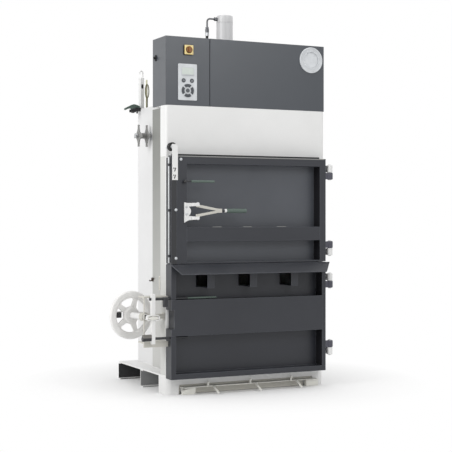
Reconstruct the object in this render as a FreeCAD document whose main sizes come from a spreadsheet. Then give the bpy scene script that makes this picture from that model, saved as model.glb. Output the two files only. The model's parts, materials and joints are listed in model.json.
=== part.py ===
import FreeCAD, Part
import math
import os
import Sketcher

from FreeCAD import Placement, Rotation, Vector

# An upright recycling baler: a steel press chamber on a pallet base, two full-width doors
# one above the other, a hood over the front, and a vertical hydraulic ram.
# X runs to the right seen from the front, Y to the back and Z up. The origin is on the floor
# at the middle of the base.

SIZES = {
    # base
    "body_width": (970, "outer width of the columns, the hood and the base"),
    "base_depth": (720, "front edge of the base to its rear edge"),
    "base_height": (103, "floor to the top of the base plate"),
    "base_plate": (8, "thickness of the base plate"),
    "base_corner": (10, "corner radius of the base plate"),
    "front_beam_depth": (100, "front beam, front to back"),
    "front_foot_width": (76, "each end of the front beam that reaches the floor"),
    "front_arch_height": (52, "clear height under the middle of the front beam"),
    "front_corner": (38, "plan radius of the front beam's outer corners"),
    "cross_beam_width": (40, "middle cross beam, front to back"),
    "rear_beam_width": (34, "rear cross beam, front to back"),
    "beam_wall": (5, "wall of the hollow beams"),
    "shelf_plate": (4, "thickness of the low shelf before the base"),
    "shelf_depth": (24, "how far the low shelf stands before the base"),
    "shelf_inner": (40, "how far the low shelf reaches under the base"),
    "foot_block_width": (74, "width of each light foot block"),
    "foot_block_height": (35, "height of each light foot block"),
    "foot_block_offset": (377, "half the distance between the two foot blocks"),
    "foot_block_shift": (18, "how far the foot blocks lie to the right of the middle"),
    "strap_pitch": (254, "distance between the three strap lines"),
    "tongue_shift": (38, "how far each strap tongue lies to the right of its strap line"),
    "tongue_length": (68, "how far each strap tongue reaches to the front"),
    "hook_height": (24, "height of the small hook beside each tongue"),
    "tongue_width": (10, "width of a strap tongue"),
    # columns, walls and floor of the chamber
    "column_width": (112, "front columns, side to side"),
    "column_depth": (75, "front columns and upper panel, front to back"),
    "column_wall": (3, "sheet thickness of the columns and the upper panel"),
    "column_corner": (14, "outer corner radius of the columns"),
    "side_wall": (4, "thickness of the chamber's walls"),
    "side_wall_rear": (30, "base's rear edge to the rear edge of the side walls"),
    "side_wall_top": (1580, "top of the side walls"),
    "side_post_reach": (27, "how far the side posts stand out from the walls"),
    "side_post_front": (280, "body's front plane to the front of the side posts"),
    "side_post_depth": (117, "side posts, front to back"),
    "rear_wall_front": (60, "base's rear edge to the inner face of the rear wall"),
    "rear_rib_height": (60, "height of each rib on the rear wall"),
    "floor_height": (15, "thickness of the chamber floor"),
    "strap_groove_width": (30, "width of the strap grooves"),
    "strap_groove_depth": (9, "depth of the strap grooves"),
    "fit": (0.5, "gap between pieces that stand beside each other"),
    "running": (0.05, "radial clearance of pins in their bores"),
    # upper panel and hood
    "panel_bottom": (1272, "lower edge of the upper panel"),
    "hood_bottom": (1544, "lower edge of the hood"),
    "hood_top": (1912, "top of the hood"),
    "hood_depth": (184, "hood, front to back"),
    "hood_wall": (2.5, "sheet thickness of the hood"),
    "hood_corner": (6, "outer corner radius of the hood"),
    "cabinet_width": (257, "width of the control cabinet at the hood's left end"),
    "hood_seam": (2.5, "gap between the cabinet and the hood cover"),
    "switch_inset": (130, "left side of the body to the middle of the main switch"),
    "switch_z": (1842, "height of the main switch"),
    "switch_side": (50, "side of the main switch plate"),
    "switch_knob": (17, "radius of the main switch knob"),
    "control_inset": (125, "left side of the body to the middle of the control panel"),
    "control_bottom": (1572, "lower edge of the control panel"),
    "control_width": (109, "width of the control panel"),
    "control_height": (195, "height of the control panel"),
    "control_thick": (6, "thickness of the control panel"),
    "pad_z": (1624, "height of the four-way pad's middle"),
    "pad_radius": (35.5, "outer radius of the four-way pad"),
    "badge_inset": (86, "right side of the body to the middle of the round badge"),
    "badge_z": (1830, "height of the round badge"),
    "badge_radius": (72, "outer radius of the round badge"),
    "grommet_y": (138, "body's front plane to the middle of the mains inlet"),
    "grommet_z": (1808, "height of the mains inlet"),
    # press
    "ram_y": (290, "body's front plane to the ram's axis"),
    "barrel_radius": (47, "outer radius of the cylinder barrel"),
    "barrel_bore": (35, "bore radius of the cylinder barrel"),
    "barrel_bottom": (1385, "lower end of the cylinder"),
    "barrel_top": (2095, "top of the cylinder cap"),
    "cap_height": (40, "height of the cylinder cap"),
    "gland_height": (40, "height of the gland at the cylinder's lower end"),
    "rod_radius": (25, "radius of the piston rod"),
    "piston_height": (30, "height of the piston"),
    "piston_gap": (3, "gap between the piston and the cap with the ram up"),
    "platen_bottom": (1290, "underside of the press platen with the ram up"),
    "platen_plate": (18, "thickness of the platen's plate"),
    "platen_height": (78, "height of the platen with its stiffeners"),
    "platen_gap": (10, "gap between the platen and the walls"),
    "crosshead_bottom": (1450, "underside of the crosshead"),
    "crosshead_height": (120, "height of the crosshead channels"),
    "crosshead_flange": (52, "flange width of the crosshead channels"),
    "crosshead_wall": (8, "thickness of the crosshead channels"),
    "shelf_thick": (6, "thickness of the shelf over the chamber"),
    "tank_height": (172, "height of the oil tank"),
    "motor_radius": (70, "radius of the pump motor"),
    "pipe_radius": (5, "radius of the steel pipe at the cylinder"),
    "hose_radius": (8, "radius of the hydraulic hose"),
    # doors
    "door_inset": (32, "right side of the body to the doors' right edges"),
    "door_depth": (75, "front plane of the body to the doors' front"),
    "door_gap": (2, "gap between the doors and the body"),
    "door_sheet": (5, "thickness of the doors' sheet"),
    "split": (700, "lower edge of the upper door"),
    "split_gap": (3, "gap between the two doors"),
    "upper_stile": (90, "left side of the body to the inner edge of the left stile"),
    "upper_right_rim": (38, "right rim of the upper door"),
    "upper_top_rim": (43, "top rim of the upper door"),
    "upper_bottom_rim": (8, "bottom rim of the upper door"),
    "strip_width": (32, "width of the lock strip along the upper door"),
    "rib_bottom": (819, "lower edge of the upper door's rib"),
    "rib_height": (74, "height of the upper door's rib"),
    "lower_bottom": (90, "lower edge of the lower door"),
    "lower_rim": (28, "rims of the lower door"),
    "beam_bottom": (320, "lower edge of the lower door's beam"),
    "beam_height": (190, "height of the lower door's beam"),
    "lower_right_rim": (24, "right rim of the lower door"),
    "beam_proud": (6, "how far the beam's face stands before the rims"),
    "lip_reach": (68, "how far the lip stands before the doors"),
    "lip_drop": (50, "height that the lip falls"),
    "lip_overhang": (26, "how far the lip reaches past the doors' right edges"),
    "lip_mitre": (36, "how far the lip's left end is cut back"),
    "lip_mitre_right": (57, "how far the lip's right end is cut back"),
    "block_width": (42, "width of the three box ribs"),
    "block_bottom": (568, "lower edge of the three box ribs"),
    "block_height": (77, "height of the three box ribs"),
    "slot_reach": (57, "rib's middle to the left edge of its strap slot"),
    "slot_inner": (15, "rib's middle to the right edge of its strap slot"),
    "slot_height": (68, "height of the strap slots"),
    # hinges
    "hinge_y": (-65, "body's front plane to the hinge axis"),
    "knuckle_radius": (18, "outer radius of the hinge knuckles"),
    "knuckle_height": (40, "height of a hinge knuckle"),
    "pin_radius": (8, "radius of the hinge pins"),
    "hinge_leaf": (10, "thickness of the hinge leaves"),
    "hinge_1": (1197.5, "height of the uppermost hinge"),
    "hinge_2": (773, "height of the second hinge"),
    "hinge_3": (591, "height of the third hinge"),
    "hinge_4": (217, "height of the lowest hinge"),
    # handles and latches on the upper door
    "catch_width": (39, "width of the slotted catch plate"),
    "catch_length": (189, "length of the slotted catch plate"),
    "catch_rise": (59, "how far the slotted catch plate stands over the door"),
    "catch_thick": (6, "thickness of the slotted catch plate"),
    "roller_radius": (23, "radius of the roller behind the catch plate"),
    "roller_rise": (46, "height of the roller over the doors' top"),
    "roller_cap": (12, "radius of the roller's end cap"),
    "cap_radius": (9, "radius of the round caps on the upper door"),
    "lever_inset": (78, "left side of the body to the latch lever's pivot"),
    "lever_z": (1136, "height of the latch lever"),
    "lever_length": (168, "length of the latch lever"),
    "lever_stem": (30, "bare part of the latch lever"),
    "lever_grip": (7, "radius of the latch lever's boss and grip"),
    "handle_gap": (8, "gap between the doors' front and a handle's bar"),
    "grip_radius": (12, "radius of the fork handle's grip"),
    "fork_inset": (143, "left side of the body to the fork's pivot"),
    "fork_z": (981, "height of the fork handle"),
    "fork_stand_off": (22, "doors' front to the fork's pivot"),
    "fork_spread": (83, "distance between the fork's two eyes"),
    "fork_eye": (9, "pivot to the outer end of the fork's eyes"),
    "fork_meet": (98, "pivot to the place where the fork's arms meet"),
    "fork_reach": (120, "pivot to the end of the fork's arms"),
    "fork_stem": (29, "bare stem between the fork's arms and its grip"),
    "fork_grip": (105, "length of the fork handle's grip"),
    "fork_bar": (11, "height of the fork's eyes"),
    "fork_depth": (12, "thickness of the fork's arms, front to back"),
    "fork_pin": (4, "radius of the fork's pivot pins"),
    "yoke_length": (67, "pivot to the back of the yoke"),
    "yoke_back": (24, "width of the yoke's back"),
    "yoke_rise": (46, "half the height of the yoke"),
    "yoke_arm": (21, "height of each arm of the yoke"),
    "yoke_depth": (16, "thickness of the yoke's arms, front to back"),
    "yoke_disc": (24, "radius of the round boss on the yoke's back"),
    "rod_pin_radius": (5, "radius of the upright lock rod"),
    "rod_outset": (7, "left side of the body to the upright lock rod"),
    "rod_set_back": (15, "doors' front to the upright lock rod"),
    # door lock at the left side
    "lock_tilt": (9, "turn of the handwheel's axis away from straight ahead, in degrees"),
    "wheel_outset": (137, "left side of the body to the middle of the handwheel"),
    "wheel_y": (157, "body's front plane to the middle of the handwheel"),
    "wheel_z": (420, "height of the handwheel"),
    "wheel_radius": (130, "outer radius of the handwheel"),
    "rim_width": (32, "width of the handwheel's flat rim"),
    "rim_thick": (24, "thickness of the handwheel's rim"),
    "rim_round": (9, "rounding of the handwheel's outer edge"),
    "wheel_web": (11, "thickness of the handwheel's web"),
    "hub_radius": (44, "radius of the handwheel's hub"),
    "hub_height": (13, "how far the hub stands out on each side"),
    "knob_x": (76, "middle of the handwheel to the crank knob, sideways"),
    "knob_rise": (5, "how far the crank knob lies above the handwheel's middle"),
    "knob_length": (40, "length of the crank knob"),
    "spindle_radius": (8, "radius of the spindle"),
    "housing_radius": (17, "outer radius of the spindle's housing"),
    "housing_end": (157, "handwheel's middle to the front end of the spindle's housing"),
    "crossbar_y": (-60, "body's front plane to the middle of the crossbar"),
    "crossbar_bottom": (283, "lower end of the crossbar"),
    "crossbar_top": (545, "upper end of the crossbar"),
    "crossbar_width": (20, "width of the crossbar"),
    "crossbar_thick": (24, "thickness of the crossbar, front to back"),
    "eye_length": (60, "length of the opening in the crossbar's eye"),
    "eye_height": (20, "height of the opening in the crossbar's eye"),
    "eye_wall": (5, "wall around the crossbar's eye"),
    "head_length": (56, "length of the spindle's T-shaped head"),
    "head_height": (16, "height of the spindle's T-shaped head"),
    "head_thick": (10, "thickness of the spindle's T-shaped head"),
    "head_gap": (12, "gap between the crossbar and the middle of the T-shaped head"),
    "lock_rod_radius": (7, "radius of the two lock rods"),
    "rods_inset": (100, "left side of the body to the right ends of the lock rods"),
    "sleeve_radius": (13, "radius of the sleeve on the lower lock rod"),
    "lower_stem": (44, "bare stem before the lower door's grip"),
    "lower_grip": (6, "radius of the lower door's grip"),
    "lower_grip_length": (126, "length of the lower door's grip"),
    "bracket_reach": (139, "how far the lock bracket stands out to the left"),
    "bracket_bottom": (283, "underside of the lock bracket"),
    "bracket_top": (530, "top of the lock bracket"),
    "bracket_plate": (8, "thickness of the lock bracket's plates"),
    "tie_side": (6, "side of the thin upright bar that ties the bracket's plates"),
    "arm_height": (24, "height of the arm that carries the spindle's housing"),
    "arm_depth": (32, "depth of the arm that carries the spindle's housing"),
    "clamp_wall": (6, "wall of the ring around the spindle's housing"),
    # left side, rear
    "reel_y": (227, "base's rear edge to the axle of the star reel"),
    "reel_z": (1411, "height of the star reel's axle"),
    "star_radius": (62, "radius of the star flanges"),
    "star_waist": (31, "radius of the star flanges between two arms"),
    "star_arm": (8, "half the width of a star's arm near its tip"),
    "star_flare": (11, "half the width of a star's tip"),
    "star_plate": (6, "thickness of the star flanges"),
    "axle_radius": (9, "radius of the star reel's axle"),
    "rear_post_top": (1764, "top of the straight part of the rear post"),
    "post_width": (22, "rear post, side to side"),
    "post_depth": (34, "rear post, front to back"),
    "post_hole": (51, "top of the rear post to the middle of its oval hole"),
    "curl_radius": (12, "outer radius of the curled strip on the rear post"),
    "curl_rise": (31, "height of the curled strip's middle over the post"),
    "curl_wall": (4, "thickness of the curled strip"),
    "hanger_width": (17, "width of the oval hanger"),
    "hanger_height": (104, "height of the oval hanger"),
    "hanger_rise": (95, "shelf to the middle of the oval hanger"),
    "hanger_wall": (5, "width of the oval hanger's bar"),
    "cutter_y": (60, "base's rear edge to the pivot of the release lever"),
    "cutter_reach": (62, "how far the release lever's block stands out"),
    "cutter_bottom": (1544, "underside of the release lever's block"),
    "cutter_block": (22, "height of the release lever's block"),
    "cutter_lift": (12, "block's top to the release lever's pivot"),
}

doc = FreeCAD.newDocument("recycling_baler")
sheet = doc.addObject("Spreadsheet::Sheet", "sizes")


class Size:
    """A length with its present value and the formula on the sheet that drives it."""

    def __init__(self, value, formula):
        self.value = float(value)
        self.formula = formula

    def __add__(self, other):
        other = as_size(other)
        return Size(self.value + other.value, f"({self.formula} + {other.formula})")

    def __sub__(self, other):
        other = as_size(other)
        return Size(self.value - other.value, f"({self.formula} - {other.formula})")

    def __radd__(self, other):
        return as_size(other) + self

    def __rsub__(self, other):
        return as_size(other) - self

    def __mul__(self, factor):
        return Size(self.value * factor, f"({self.formula} * {factor})")

    def __truediv__(self, divisor):
        return Size(self.value / divisor, f"({self.formula} / {divisor})")

    def __neg__(self):
        return Size(-self.value, f"(0 - {self.formula})")


def as_size(number):
    return number if isinstance(number, Size) else Size(number, str(float(number)))


class Sheet:
    """Every driving size, by its name on the sheet."""

    def __init__(self):
        for row, (alias, (value, note)) in enumerate(SIZES.items(), start=1):
            sheet.set(f"A{row}", note)
            sheet.set(f"B{row}", str(value))
            sheet.setAlias(f"B{row}", alias)
            setattr(self, alias, Size(value, f"sizes.{alias}"))


d = Sheet()
doc.recompute()

# planes and edges that many pieces share
left = -d.body_width / 2
right = d.body_width / 2
front = -d.base_depth / 2
rear = d.base_depth / 2
floor_top = d.base_height + d.floor_height
column_back = front + d.column_depth
wall_x = right - d.column_width
door_front = front - d.door_depth
door_back = front - d.door_gap
door_right = right - d.door_inset
sheet_front = door_back - d.door_sheet
hinge_x = right
hinge_y = front + d.hinge_y
lower_top = d.split - d.split_gap
upper_top = d.panel_bottom
catch_top = upper_top + d.catch_rise
catch_bottom = catch_top - d.catch_length
roller_z = upper_top + d.roller_rise
fork_x = left + d.fork_inset
lever_x = left + d.lever_inset
wheel_x = left - d.wheel_outset
bracket_left = left - d.bracket_reach
rods_end = left + d.rods_inset
switch_x = left + d.switch_inset
control_x = left + d.control_inset
badge_x = right - d.badge_inset
platen_front = column_back - d.column_wall * 12
wall_rear = rear - d.side_wall_rear
chamber_rear = rear - d.rear_wall_front
post_front = front + d.side_post_front
grommet_y = front + d.grommet_y
ram_y = front + d.ram_y
wheel_y = front + d.wheel_y
crossbar_y = front + d.crossbar_y
reel_y = rear - d.reel_y
cutter_y = rear - d.cutter_y

PLANES = {"XY": "XY_Plane", "XZ": "XZ_Plane", "YZ": "YZ_Plane"}
subparts = []


def keep(label, shape_object):
    """Name a finished sub-part and note it for writing."""
    shape_object.Label = label
    subparts.append(shape_object)
    return shape_object


def bind(target, path, size):
    target.setExpression(path, as_size(size).formula)


# Sketched pieces -------------------------------------------------------------------------


def add_line_loop(sketch, points):
    """A closed outline whose corners are held at their distances from the sketch's origin."""
    points = [(as_size(a), as_size(b)) for a, b in points]
    first = sketch.GeometryCount
    count = len(points)
    for i, (a, b) in enumerate(points):
        c, e = points[(i + 1) % count]
        start = Vector(a.value, b.value, 0)
        end = Vector(c.value, e.value, 0)
        sketch.addGeometry(Part.LineSegment(start, end), False)
    for i in range(count):
        following = first + (i + 1) % count
        sketch.addConstraint(Sketcher.Constraint("Coincident", first + i, 2, following, 1))
    for i, point in enumerate(points):
        for kind, size in zip(("DistanceX", "DistanceY"), point):
            index = sketch.addConstraint(
                Sketcher.Constraint(kind, -1, 1, first + i, 1, size.value)
            )
            bind(sketch, f"Constraints[{index}]", size)


def add_circle(sketch, x, y, radius):
    """A circle held by its middle and its radius."""
    x, y, radius = as_size(x), as_size(y), as_size(radius)
    circle = Part.Circle(Vector(x.value, y.value, 0), Vector(0, 0, 1), radius.value)
    index = sketch.addGeometry(circle, False)
    for kind, size in (("DistanceX", x), ("DistanceY", y)):
        held = sketch.addConstraint(
            Sketcher.Constraint(kind, -1, 1, index, 3, size.value)
        )
        bind(sketch, f"Constraints[{held}]", size)
    held = sketch.addConstraint(Sketcher.Constraint("Radius", index, radius.value))
    bind(sketch, f"Constraints[{held}]", radius)


def add_sketch(body, plane, offset, loops):
    """A sketch on one of the body's own planes, at a distance along that plane's normal."""
    sketch = body.newObject("Sketcher::SketchObject", body.Label + "_outline")
    role = PLANES[plane]
    support = [f for f in body.Origin.OriginFeatures if f.Role == role][0]
    sketch.AttachmentSupport = [(support, "")]
    sketch.MapMode = "FlatFace"
    bind(sketch, "AttachmentOffset.Base.z", offset)
    for loop in loops:
        if len(loop) == 3 and not isinstance(loop[0], tuple):
            add_circle(sketch, *loop)
        else:
            add_line_loop(sketch, loop)
    return sketch


def new_body(label):
    body = doc.addObject("PartDesign::Body", label)
    body.Label = label
    return body


def pad(body, plane, loops, low, high):
    """Material between two planes; the XZ plane's normal points to the front."""
    low, high = as_size(low), as_size(high)
    offset = -high if plane == "XZ" else low
    feature = body.newObject("PartDesign::Pad", body.Label + "_pad")
    sketch = add_sketch(body, plane, offset, loops)
    feature.Profile = sketch
    bind(feature, "Length", high - low)
    body.Tip = feature
    return feature


def pocket(body, plane, loops, low, high):
    """An opening between two planes; it is an error if it removes nothing."""
    low, high = as_size(low), as_size(high)
    doc.recompute()
    before = body.Shape.Volume
    offset = -low if plane == "XZ" else high
    feature = body.newObject("PartDesign::Pocket", body.Label + "_pocket")
    sketch = add_sketch(body, plane, offset, loops)
    feature.Profile = sketch
    bind(feature, "Length", high - low)
    body.Tip = feature
    doc.recompute()
    if not body.Shape.Volume < before - 1:
        raise RuntimeError("nothing removed by " + feature.Name)
    return feature


def edges_where(shape, test):
    """Names of the straight edges whose two ends pass the test."""
    names = []
    for number, edge in enumerate(shape.Edges, start=1):
        if len(edge.Vertexes) == 2 and isinstance(edge.Curve, Part.Line):
            if test(edge.Vertexes[0].Point, edge.Vertexes[1].Point):
                names.append(f"Edge{number}")
    return names


def upright(x, y):
    """Edges that stand at a place in plan."""
    x, y = as_size(x).value, as_size(y).value

    def test(a, b):
        return all(abs(p.x - x) < 0.01 and abs(p.y - y) < 0.01 for p in (a, b))

    return test


def along_y(x, z):
    """Edges that run front to back at a place in the front view."""
    x, z = as_size(x).value, as_size(z).value

    def test(a, b):
        return all(abs(p.x - x) < 0.01 and abs(p.z - z) < 0.01 for p in (a, b))

    return test


def along_x(y, z):
    """Edges that run side to side at a place in the side view."""
    y, z = as_size(y).value, as_size(z).value

    def test(a, b):
        return all(abs(p.y - y) < 0.01 and abs(p.z - z) < 0.01 for p in (a, b))

    return test


def fillet(body, radius, *tests):
    """Round the edges that any of the tests picks."""
    doc.recompute()
    base = body.Tip
    names = []
    for test in tests:
        names += edges_where(base.Shape, test)
    if not names:
        raise RuntimeError("no edge to round on " + body.Label)
    feature = body.newObject("PartDesign::Fillet", body.Label + "_round")
    feature.Base = (base, sorted(set(names)))
    bind(feature, "Radius", radius)
    body.Tip = feature
    return feature


def rectangle(a0, a1, b0, b1):
    return [(a0, b0), (a1, b0), (a1, b1), (a0, b1)]


def slab(label, x0, x1, y0, y1, z0, z1):
    """A rectangular piece, padded upward from its plan."""
    body = new_body(label)
    pad(body, "XY", [rectangle(x0, x1, y0, y1)], z0, z1)
    return body


def turned(label, outline, base, rotation):
    """A piece turned about its own Z axis; the outline holds radius and height pairs."""
    body = new_body(label)
    feature = body.newObject("PartDesign::Revolution", label + "_turn")
    sketch = add_sketch(body, "XZ", as_size(0), [outline])
    feature.Profile = sketch
    feature.ReferenceAxis = (sketch, ["V_Axis"])
    feature.Angle = 360
    body.Tip = feature
    place(body, base, rotation)
    return body


def place(target, base, rotation=Rotation()):
    """Put a piece at a point given by sizes."""
    base = [as_size(size) for size in base]
    target.Placement = Placement(Vector(*[size.value for size in base]), rotation)
    for axis, size in zip("xyz", base):
        bind(target, f"Placement.Base.{axis}", size)


# Primitive pieces ------------------------------------------------------------------------


def box(label, x0, x1, y0, y1, z0, z1):
    solid = doc.addObject("Part::Box", label)
    for name, low, high in (("Length", x0, x1), ("Width", y0, y1), ("Height", z0, z1)):
        bind(solid, name, as_size(high) - as_size(low))
    place(solid, (x0, y0, z0))
    return solid


def rod(label, radius, start, length, rotation=Rotation()):
    """A round bar from its start, along Z unless it is turned."""
    solid = doc.addObject("Part::Cylinder", label)
    bind(solid, "Radius", radius)
    bind(solid, "Height", length)
    place(solid, start, rotation)
    return solid


def joined(label, pieces):
    solid = doc.addObject("Part::MultiFuse", label)
    solid.Shapes = pieces
    solid.Refine = True
    return solid


def less(label, base, tool):
    solid = doc.addObject("Part::Cut", label)
    solid.Base = base
    solid.Tool = tool
    solid.Refine = True
    return solid


def group(label, pieces):
    """Like pieces that share a node and stay separate solids."""
    solid = doc.addObject("Part::Compound", label)
    solid.Links = pieces
    return solid


TO_X = Rotation(Vector(0, 1, 0), 90)
TO_LEFT = Rotation(Vector(0, 1, 0), -90)
TO_FRONT = Rotation(Vector(1, 0, 0), 90)
TO_BACK = Rotation(Vector(1, 0, 0), -90)

# Base ------------------------------------------------------------------------------------


def make_base():
    plate = slab("base_plate", left, right, front, rear, d.base_height - d.base_plate,
                 d.base_height)
    corners = [upright(x, y) for x in (left, right) for y in (front, rear)]
    fillet(plate, d.base_corner, *corners)
    keep("base_plate", plate)

    beam_top = d.base_height - d.base_plate
    inner_left = left + d.front_foot_width
    inner_right = right - d.front_foot_width
    arch = d.front_arch_height
    bevel = arch / 8
    outline = [
        (left, 0),
        (inner_left, 0),
        (inner_left, arch - bevel),
        (inner_left + bevel, arch),
        (inner_right - bevel, arch),
        (inner_right, arch - bevel),
        (inner_right, 0),
        (right, 0),
        (right, beam_top),
        (left, beam_top),
    ]
    beam = new_body("base_front_beam")
    pad(beam, "XZ", [outline], front, front + d.front_beam_depth)
    hollow = rectangle(inner_left + d.front_foot_width / 2,
                       inner_right - d.front_foot_width / 2,
                       front + d.beam_wall,
                       front + d.front_beam_depth - d.beam_wall)
    pocket(beam, "XY", [hollow], 0, beam_top - d.beam_wall)
    fillet(beam, d.front_corner, upright(left, front), upright(right, front))
    keep("base_front_beam", beam)

    middle_back = d.cross_beam_width / 4
    cross_beam("base_middle_beam", middle_back - d.cross_beam_width, middle_back, beam_top)
    cross_beam("base_rear_beam", rear - d.rear_beam_width, rear, beam_top)


def cross_beam(label, low_y, high_y, top):
    """A cross beam of the base, a channel that is open to the front."""
    wall = d.beam_wall
    outline = [
        (low_y, 0),
        (high_y, 0),
        (high_y, top),
        (low_y, top),
        (low_y, top - wall),
        (high_y - wall, top - wall),
        (high_y - wall, wall),
        (low_y, wall),
    ]
    body = new_body(label)
    pad(body, "YZ", [outline], left, right)
    keep(label, body)


def make_base_front():
    """The low shelf on its two foot blocks, with three strap tongues and their hooks."""
    shelf_front = front - d.shelf_depth
    shelf_back = front + d.shelf_inner
    low = d.foot_block_height
    top = low + d.shelf_plate
    half = d.foot_block_width / 2
    blocks = []
    for side, name in ((-1, "left"), (1, "right")):
        middle = d.foot_block_shift + d.foot_block_offset * side
        blocks.append(box("foot_block_" + name, middle - half, middle + half, shelf_front,
                          front, 0, low))
    shelf_left = d.foot_block_shift - d.foot_block_offset - half
    shelf_right = d.foot_block_shift + d.foot_block_offset + half
    inner = right - d.front_foot_width - d.fit
    plan = [(shelf_left, shelf_front), (shelf_right, shelf_front), (shelf_right, front),
            (inner, front), (inner, shelf_back), (-inner, shelf_back)]
    shelf = new_body("low_shelf")
    pad(shelf, "XY", [plan], low, top)
    tongues = []
    for number in (-1, 0, 1):
        middle = d.strap_pitch * number + d.tongue_shift
        tip = shelf_front - d.tongue_length
        tongue = [(shelf_front, top), (shelf_front - 4, top), (tip, 12), (tip, 6),
                  (tip + 4, 6), (shelf_front, low)]
        foot = shelf_front + d.shelf_plate
        crest = top + d.hook_height
        hook = [(foot, top), (foot + 4, top), (foot + 4, crest), (foot - 8, crest),
                (foot - 8, crest - 9), (foot - 4, crest - 9), (foot - 4, crest - 4),
                (foot, crest - 4)]
        pieces = (("tongue", tongue, middle - d.tongue_width / 2),
                  ("hook", hook, middle - d.tongue_width * 3.4))
        for name, outline, edge in pieces:
            body = new_body(f"strap_{name}_{number + 2}")
            pad(body, "YZ", [outline], edge, edge + d.tongue_width)
            tongues.append(body)
    keep("step_rail", group("step_rail_set", [shelf, *blocks, *tongues]))


# Columns, walls and floor ------------------------------------------------------------------


def make_columns():
    for side, name in ((-1, "left"), (1, "right")):
        outer = right * side
        inner = outer - d.column_width * side
        body = new_body("column_" + name)
        loops = [
            rectangle(inner, outer, front, column_back),
            rectangle(inner + d.column_wall * side, outer - d.column_wall * side,
                      front + d.column_wall, column_back - d.column_wall),
        ]
        pad(body, "XY", loops, d.base_height, d.panel_bottom)
        fillet(body, d.column_corner - d.column_wall,
               upright(outer - d.column_wall * side, front + d.column_wall))
        fillet(body, d.column_corner, upright(outer, front))
        keep("column_" + name, body)


def make_walls():
    rear_edge = wall_rear
    for side, name in ((-1, "left"), (1, "right")):
        outer = wall_x * side
        inner = outer - d.side_wall * side
        # the wall's top steps down under the hood
        ledge = d.hood_bottom - d.column_wall
        hood_back = front + d.hood_depth + d.fit
        profile = [
            (column_back, d.base_height),
            (rear_edge, d.base_height),
            (rear_edge, d.side_wall_top),
            (hood_back, d.side_wall_top),
            (hood_back, ledge),
            (column_back, ledge),
        ]
        wall = new_body("side_sheet_" + name)
        pad(wall, "YZ", [profile], *((outer, inner) if side < 0 else (inner, outer)))

        reach = outer + d.side_post_reach * side
        back = post_front + d.side_post_depth
        outline = [
            (outer, post_front),
            (reach, post_front),
            (reach, back),
            (outer, back),
            (outer, back - d.side_wall),
            (reach - d.side_wall * side, back - d.side_wall),
            (reach - d.side_wall * side, post_front + d.side_wall),
            (outer, post_front + d.side_wall),
        ]
        post = new_body("side_post_" + name)
        pad(post, "XY", [outline], d.base_height, d.side_wall_top - d.side_post_reach)
        if side < 0:
            keep("side_wall_left", wall)
            keep("side_post_left", post)
        else:
            keep("side_wall_right", group("side_wall_and_post", [wall, post]))

    inside = wall_x - d.side_wall
    wall = slab("rear_sheet", -inside, inside, chamber_rear,
                chamber_rear + d.side_wall, d.base_height, d.side_wall_top)
    ribs = []
    skin = chamber_rear + d.side_wall
    for number in range(4):
        bottom = floor_top + (d.side_wall_top - floor_top) * (0.1 + 0.24 * number)
        outline = [
            (skin, bottom),
            (rear_edge, bottom + 10),
            (rear_edge, bottom + d.rear_rib_height - 10),
            (skin, bottom + d.rear_rib_height),
            (skin, bottom + d.rear_rib_height - d.side_wall),
            (rear_edge - d.side_wall, bottom + d.rear_rib_height - 10 - d.side_wall),
            (rear_edge - d.side_wall, bottom + 10 + d.side_wall),
            (skin, bottom + d.side_wall),
        ]
        body = new_body(f"rear_rib_{number + 1}")
        pad(body, "YZ", [outline], -inside, inside)
        ribs.append(body)
    keep("rear_wall", group("rear_wall_set", [wall, *ribs]))


def make_floor():
    inside = wall_x - d.side_wall
    plate = slab("chamber_floor", -inside, inside, column_back - d.column_wall * 10,
                 chamber_rear, d.base_height, floor_top)
    grooves = []
    for number in (-1, 0, 1):
        middle = d.strap_pitch * number
        grooves.append(rectangle(middle - d.strap_groove_width / 2,
                                 middle + d.strap_groove_width / 2,
                                 column_back - d.column_wall * 10, chamber_rear))
    pocket(plate, "XY", grooves, floor_top - d.strap_groove_depth, floor_top)
    keep("chamber_floor", plate)


def make_upper_panel():
    """The light front panel over the doors, a folded tray that is open at the back."""
    body = new_body("upper_panel")
    pad(body, "XZ", [rectangle(left, right, d.panel_bottom, d.hood_bottom)], front,
        column_back)
    hollow = rectangle(left + d.column_wall, right - d.column_wall,
                       d.panel_bottom + d.column_wall, d.hood_bottom - d.column_wall)
    pocket(body, "XZ", [hollow], front + d.column_wall, column_back)
    # the platen passes the lower flange between the walls
    inside = wall_x - d.side_wall
    gate = rectangle(-inside, inside, platen_front - d.platen_gap / 2, column_back)
    pocket(body, "XY", [gate], d.panel_bottom, d.panel_bottom + d.column_wall)
    ledge = rectangle(left + d.column_wall, right - d.column_wall, column_back,
                      front + d.hood_depth)
    pad(body, "XY", [ledge], d.hood_bottom - d.column_wall, d.hood_bottom)
    inner_y = front + d.column_wall
    fillet(body, d.column_corner - d.column_wall, upright(left + d.column_wall, inner_y),
           upright(right - d.column_wall, inner_y))
    fillet(body, d.column_corner, upright(left, front), upright(right, front))
    keep("upper_panel", body)


# Hood, control cabinet and what they carry -------------------------------------------------


def hood_shell(label, x0, x1):
    """A sheet cover that is open below."""
    back = front + d.hood_depth
    body = slab(label, x0, x1, front, back, d.hood_bottom, d.hood_top)
    hollow = rectangle(x0 + d.hood_wall, x1 - d.hood_wall, front + d.hood_wall,
                       back - d.hood_wall)
    pocket(body, "XY", [hollow], d.hood_bottom, d.hood_top - d.hood_wall)
    corners = [upright(x, y) for x in (x0, x1) for y in (front, back)]
    fillet(body, d.hood_corner / 3, *corners)
    return keep(label, body)


def make_hood():
    seam = left + d.cabinet_width
    hood_shell("control_cabinet", left, seam)
    hood_shell("hood_cover", seam + d.hood_seam, right)


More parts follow.
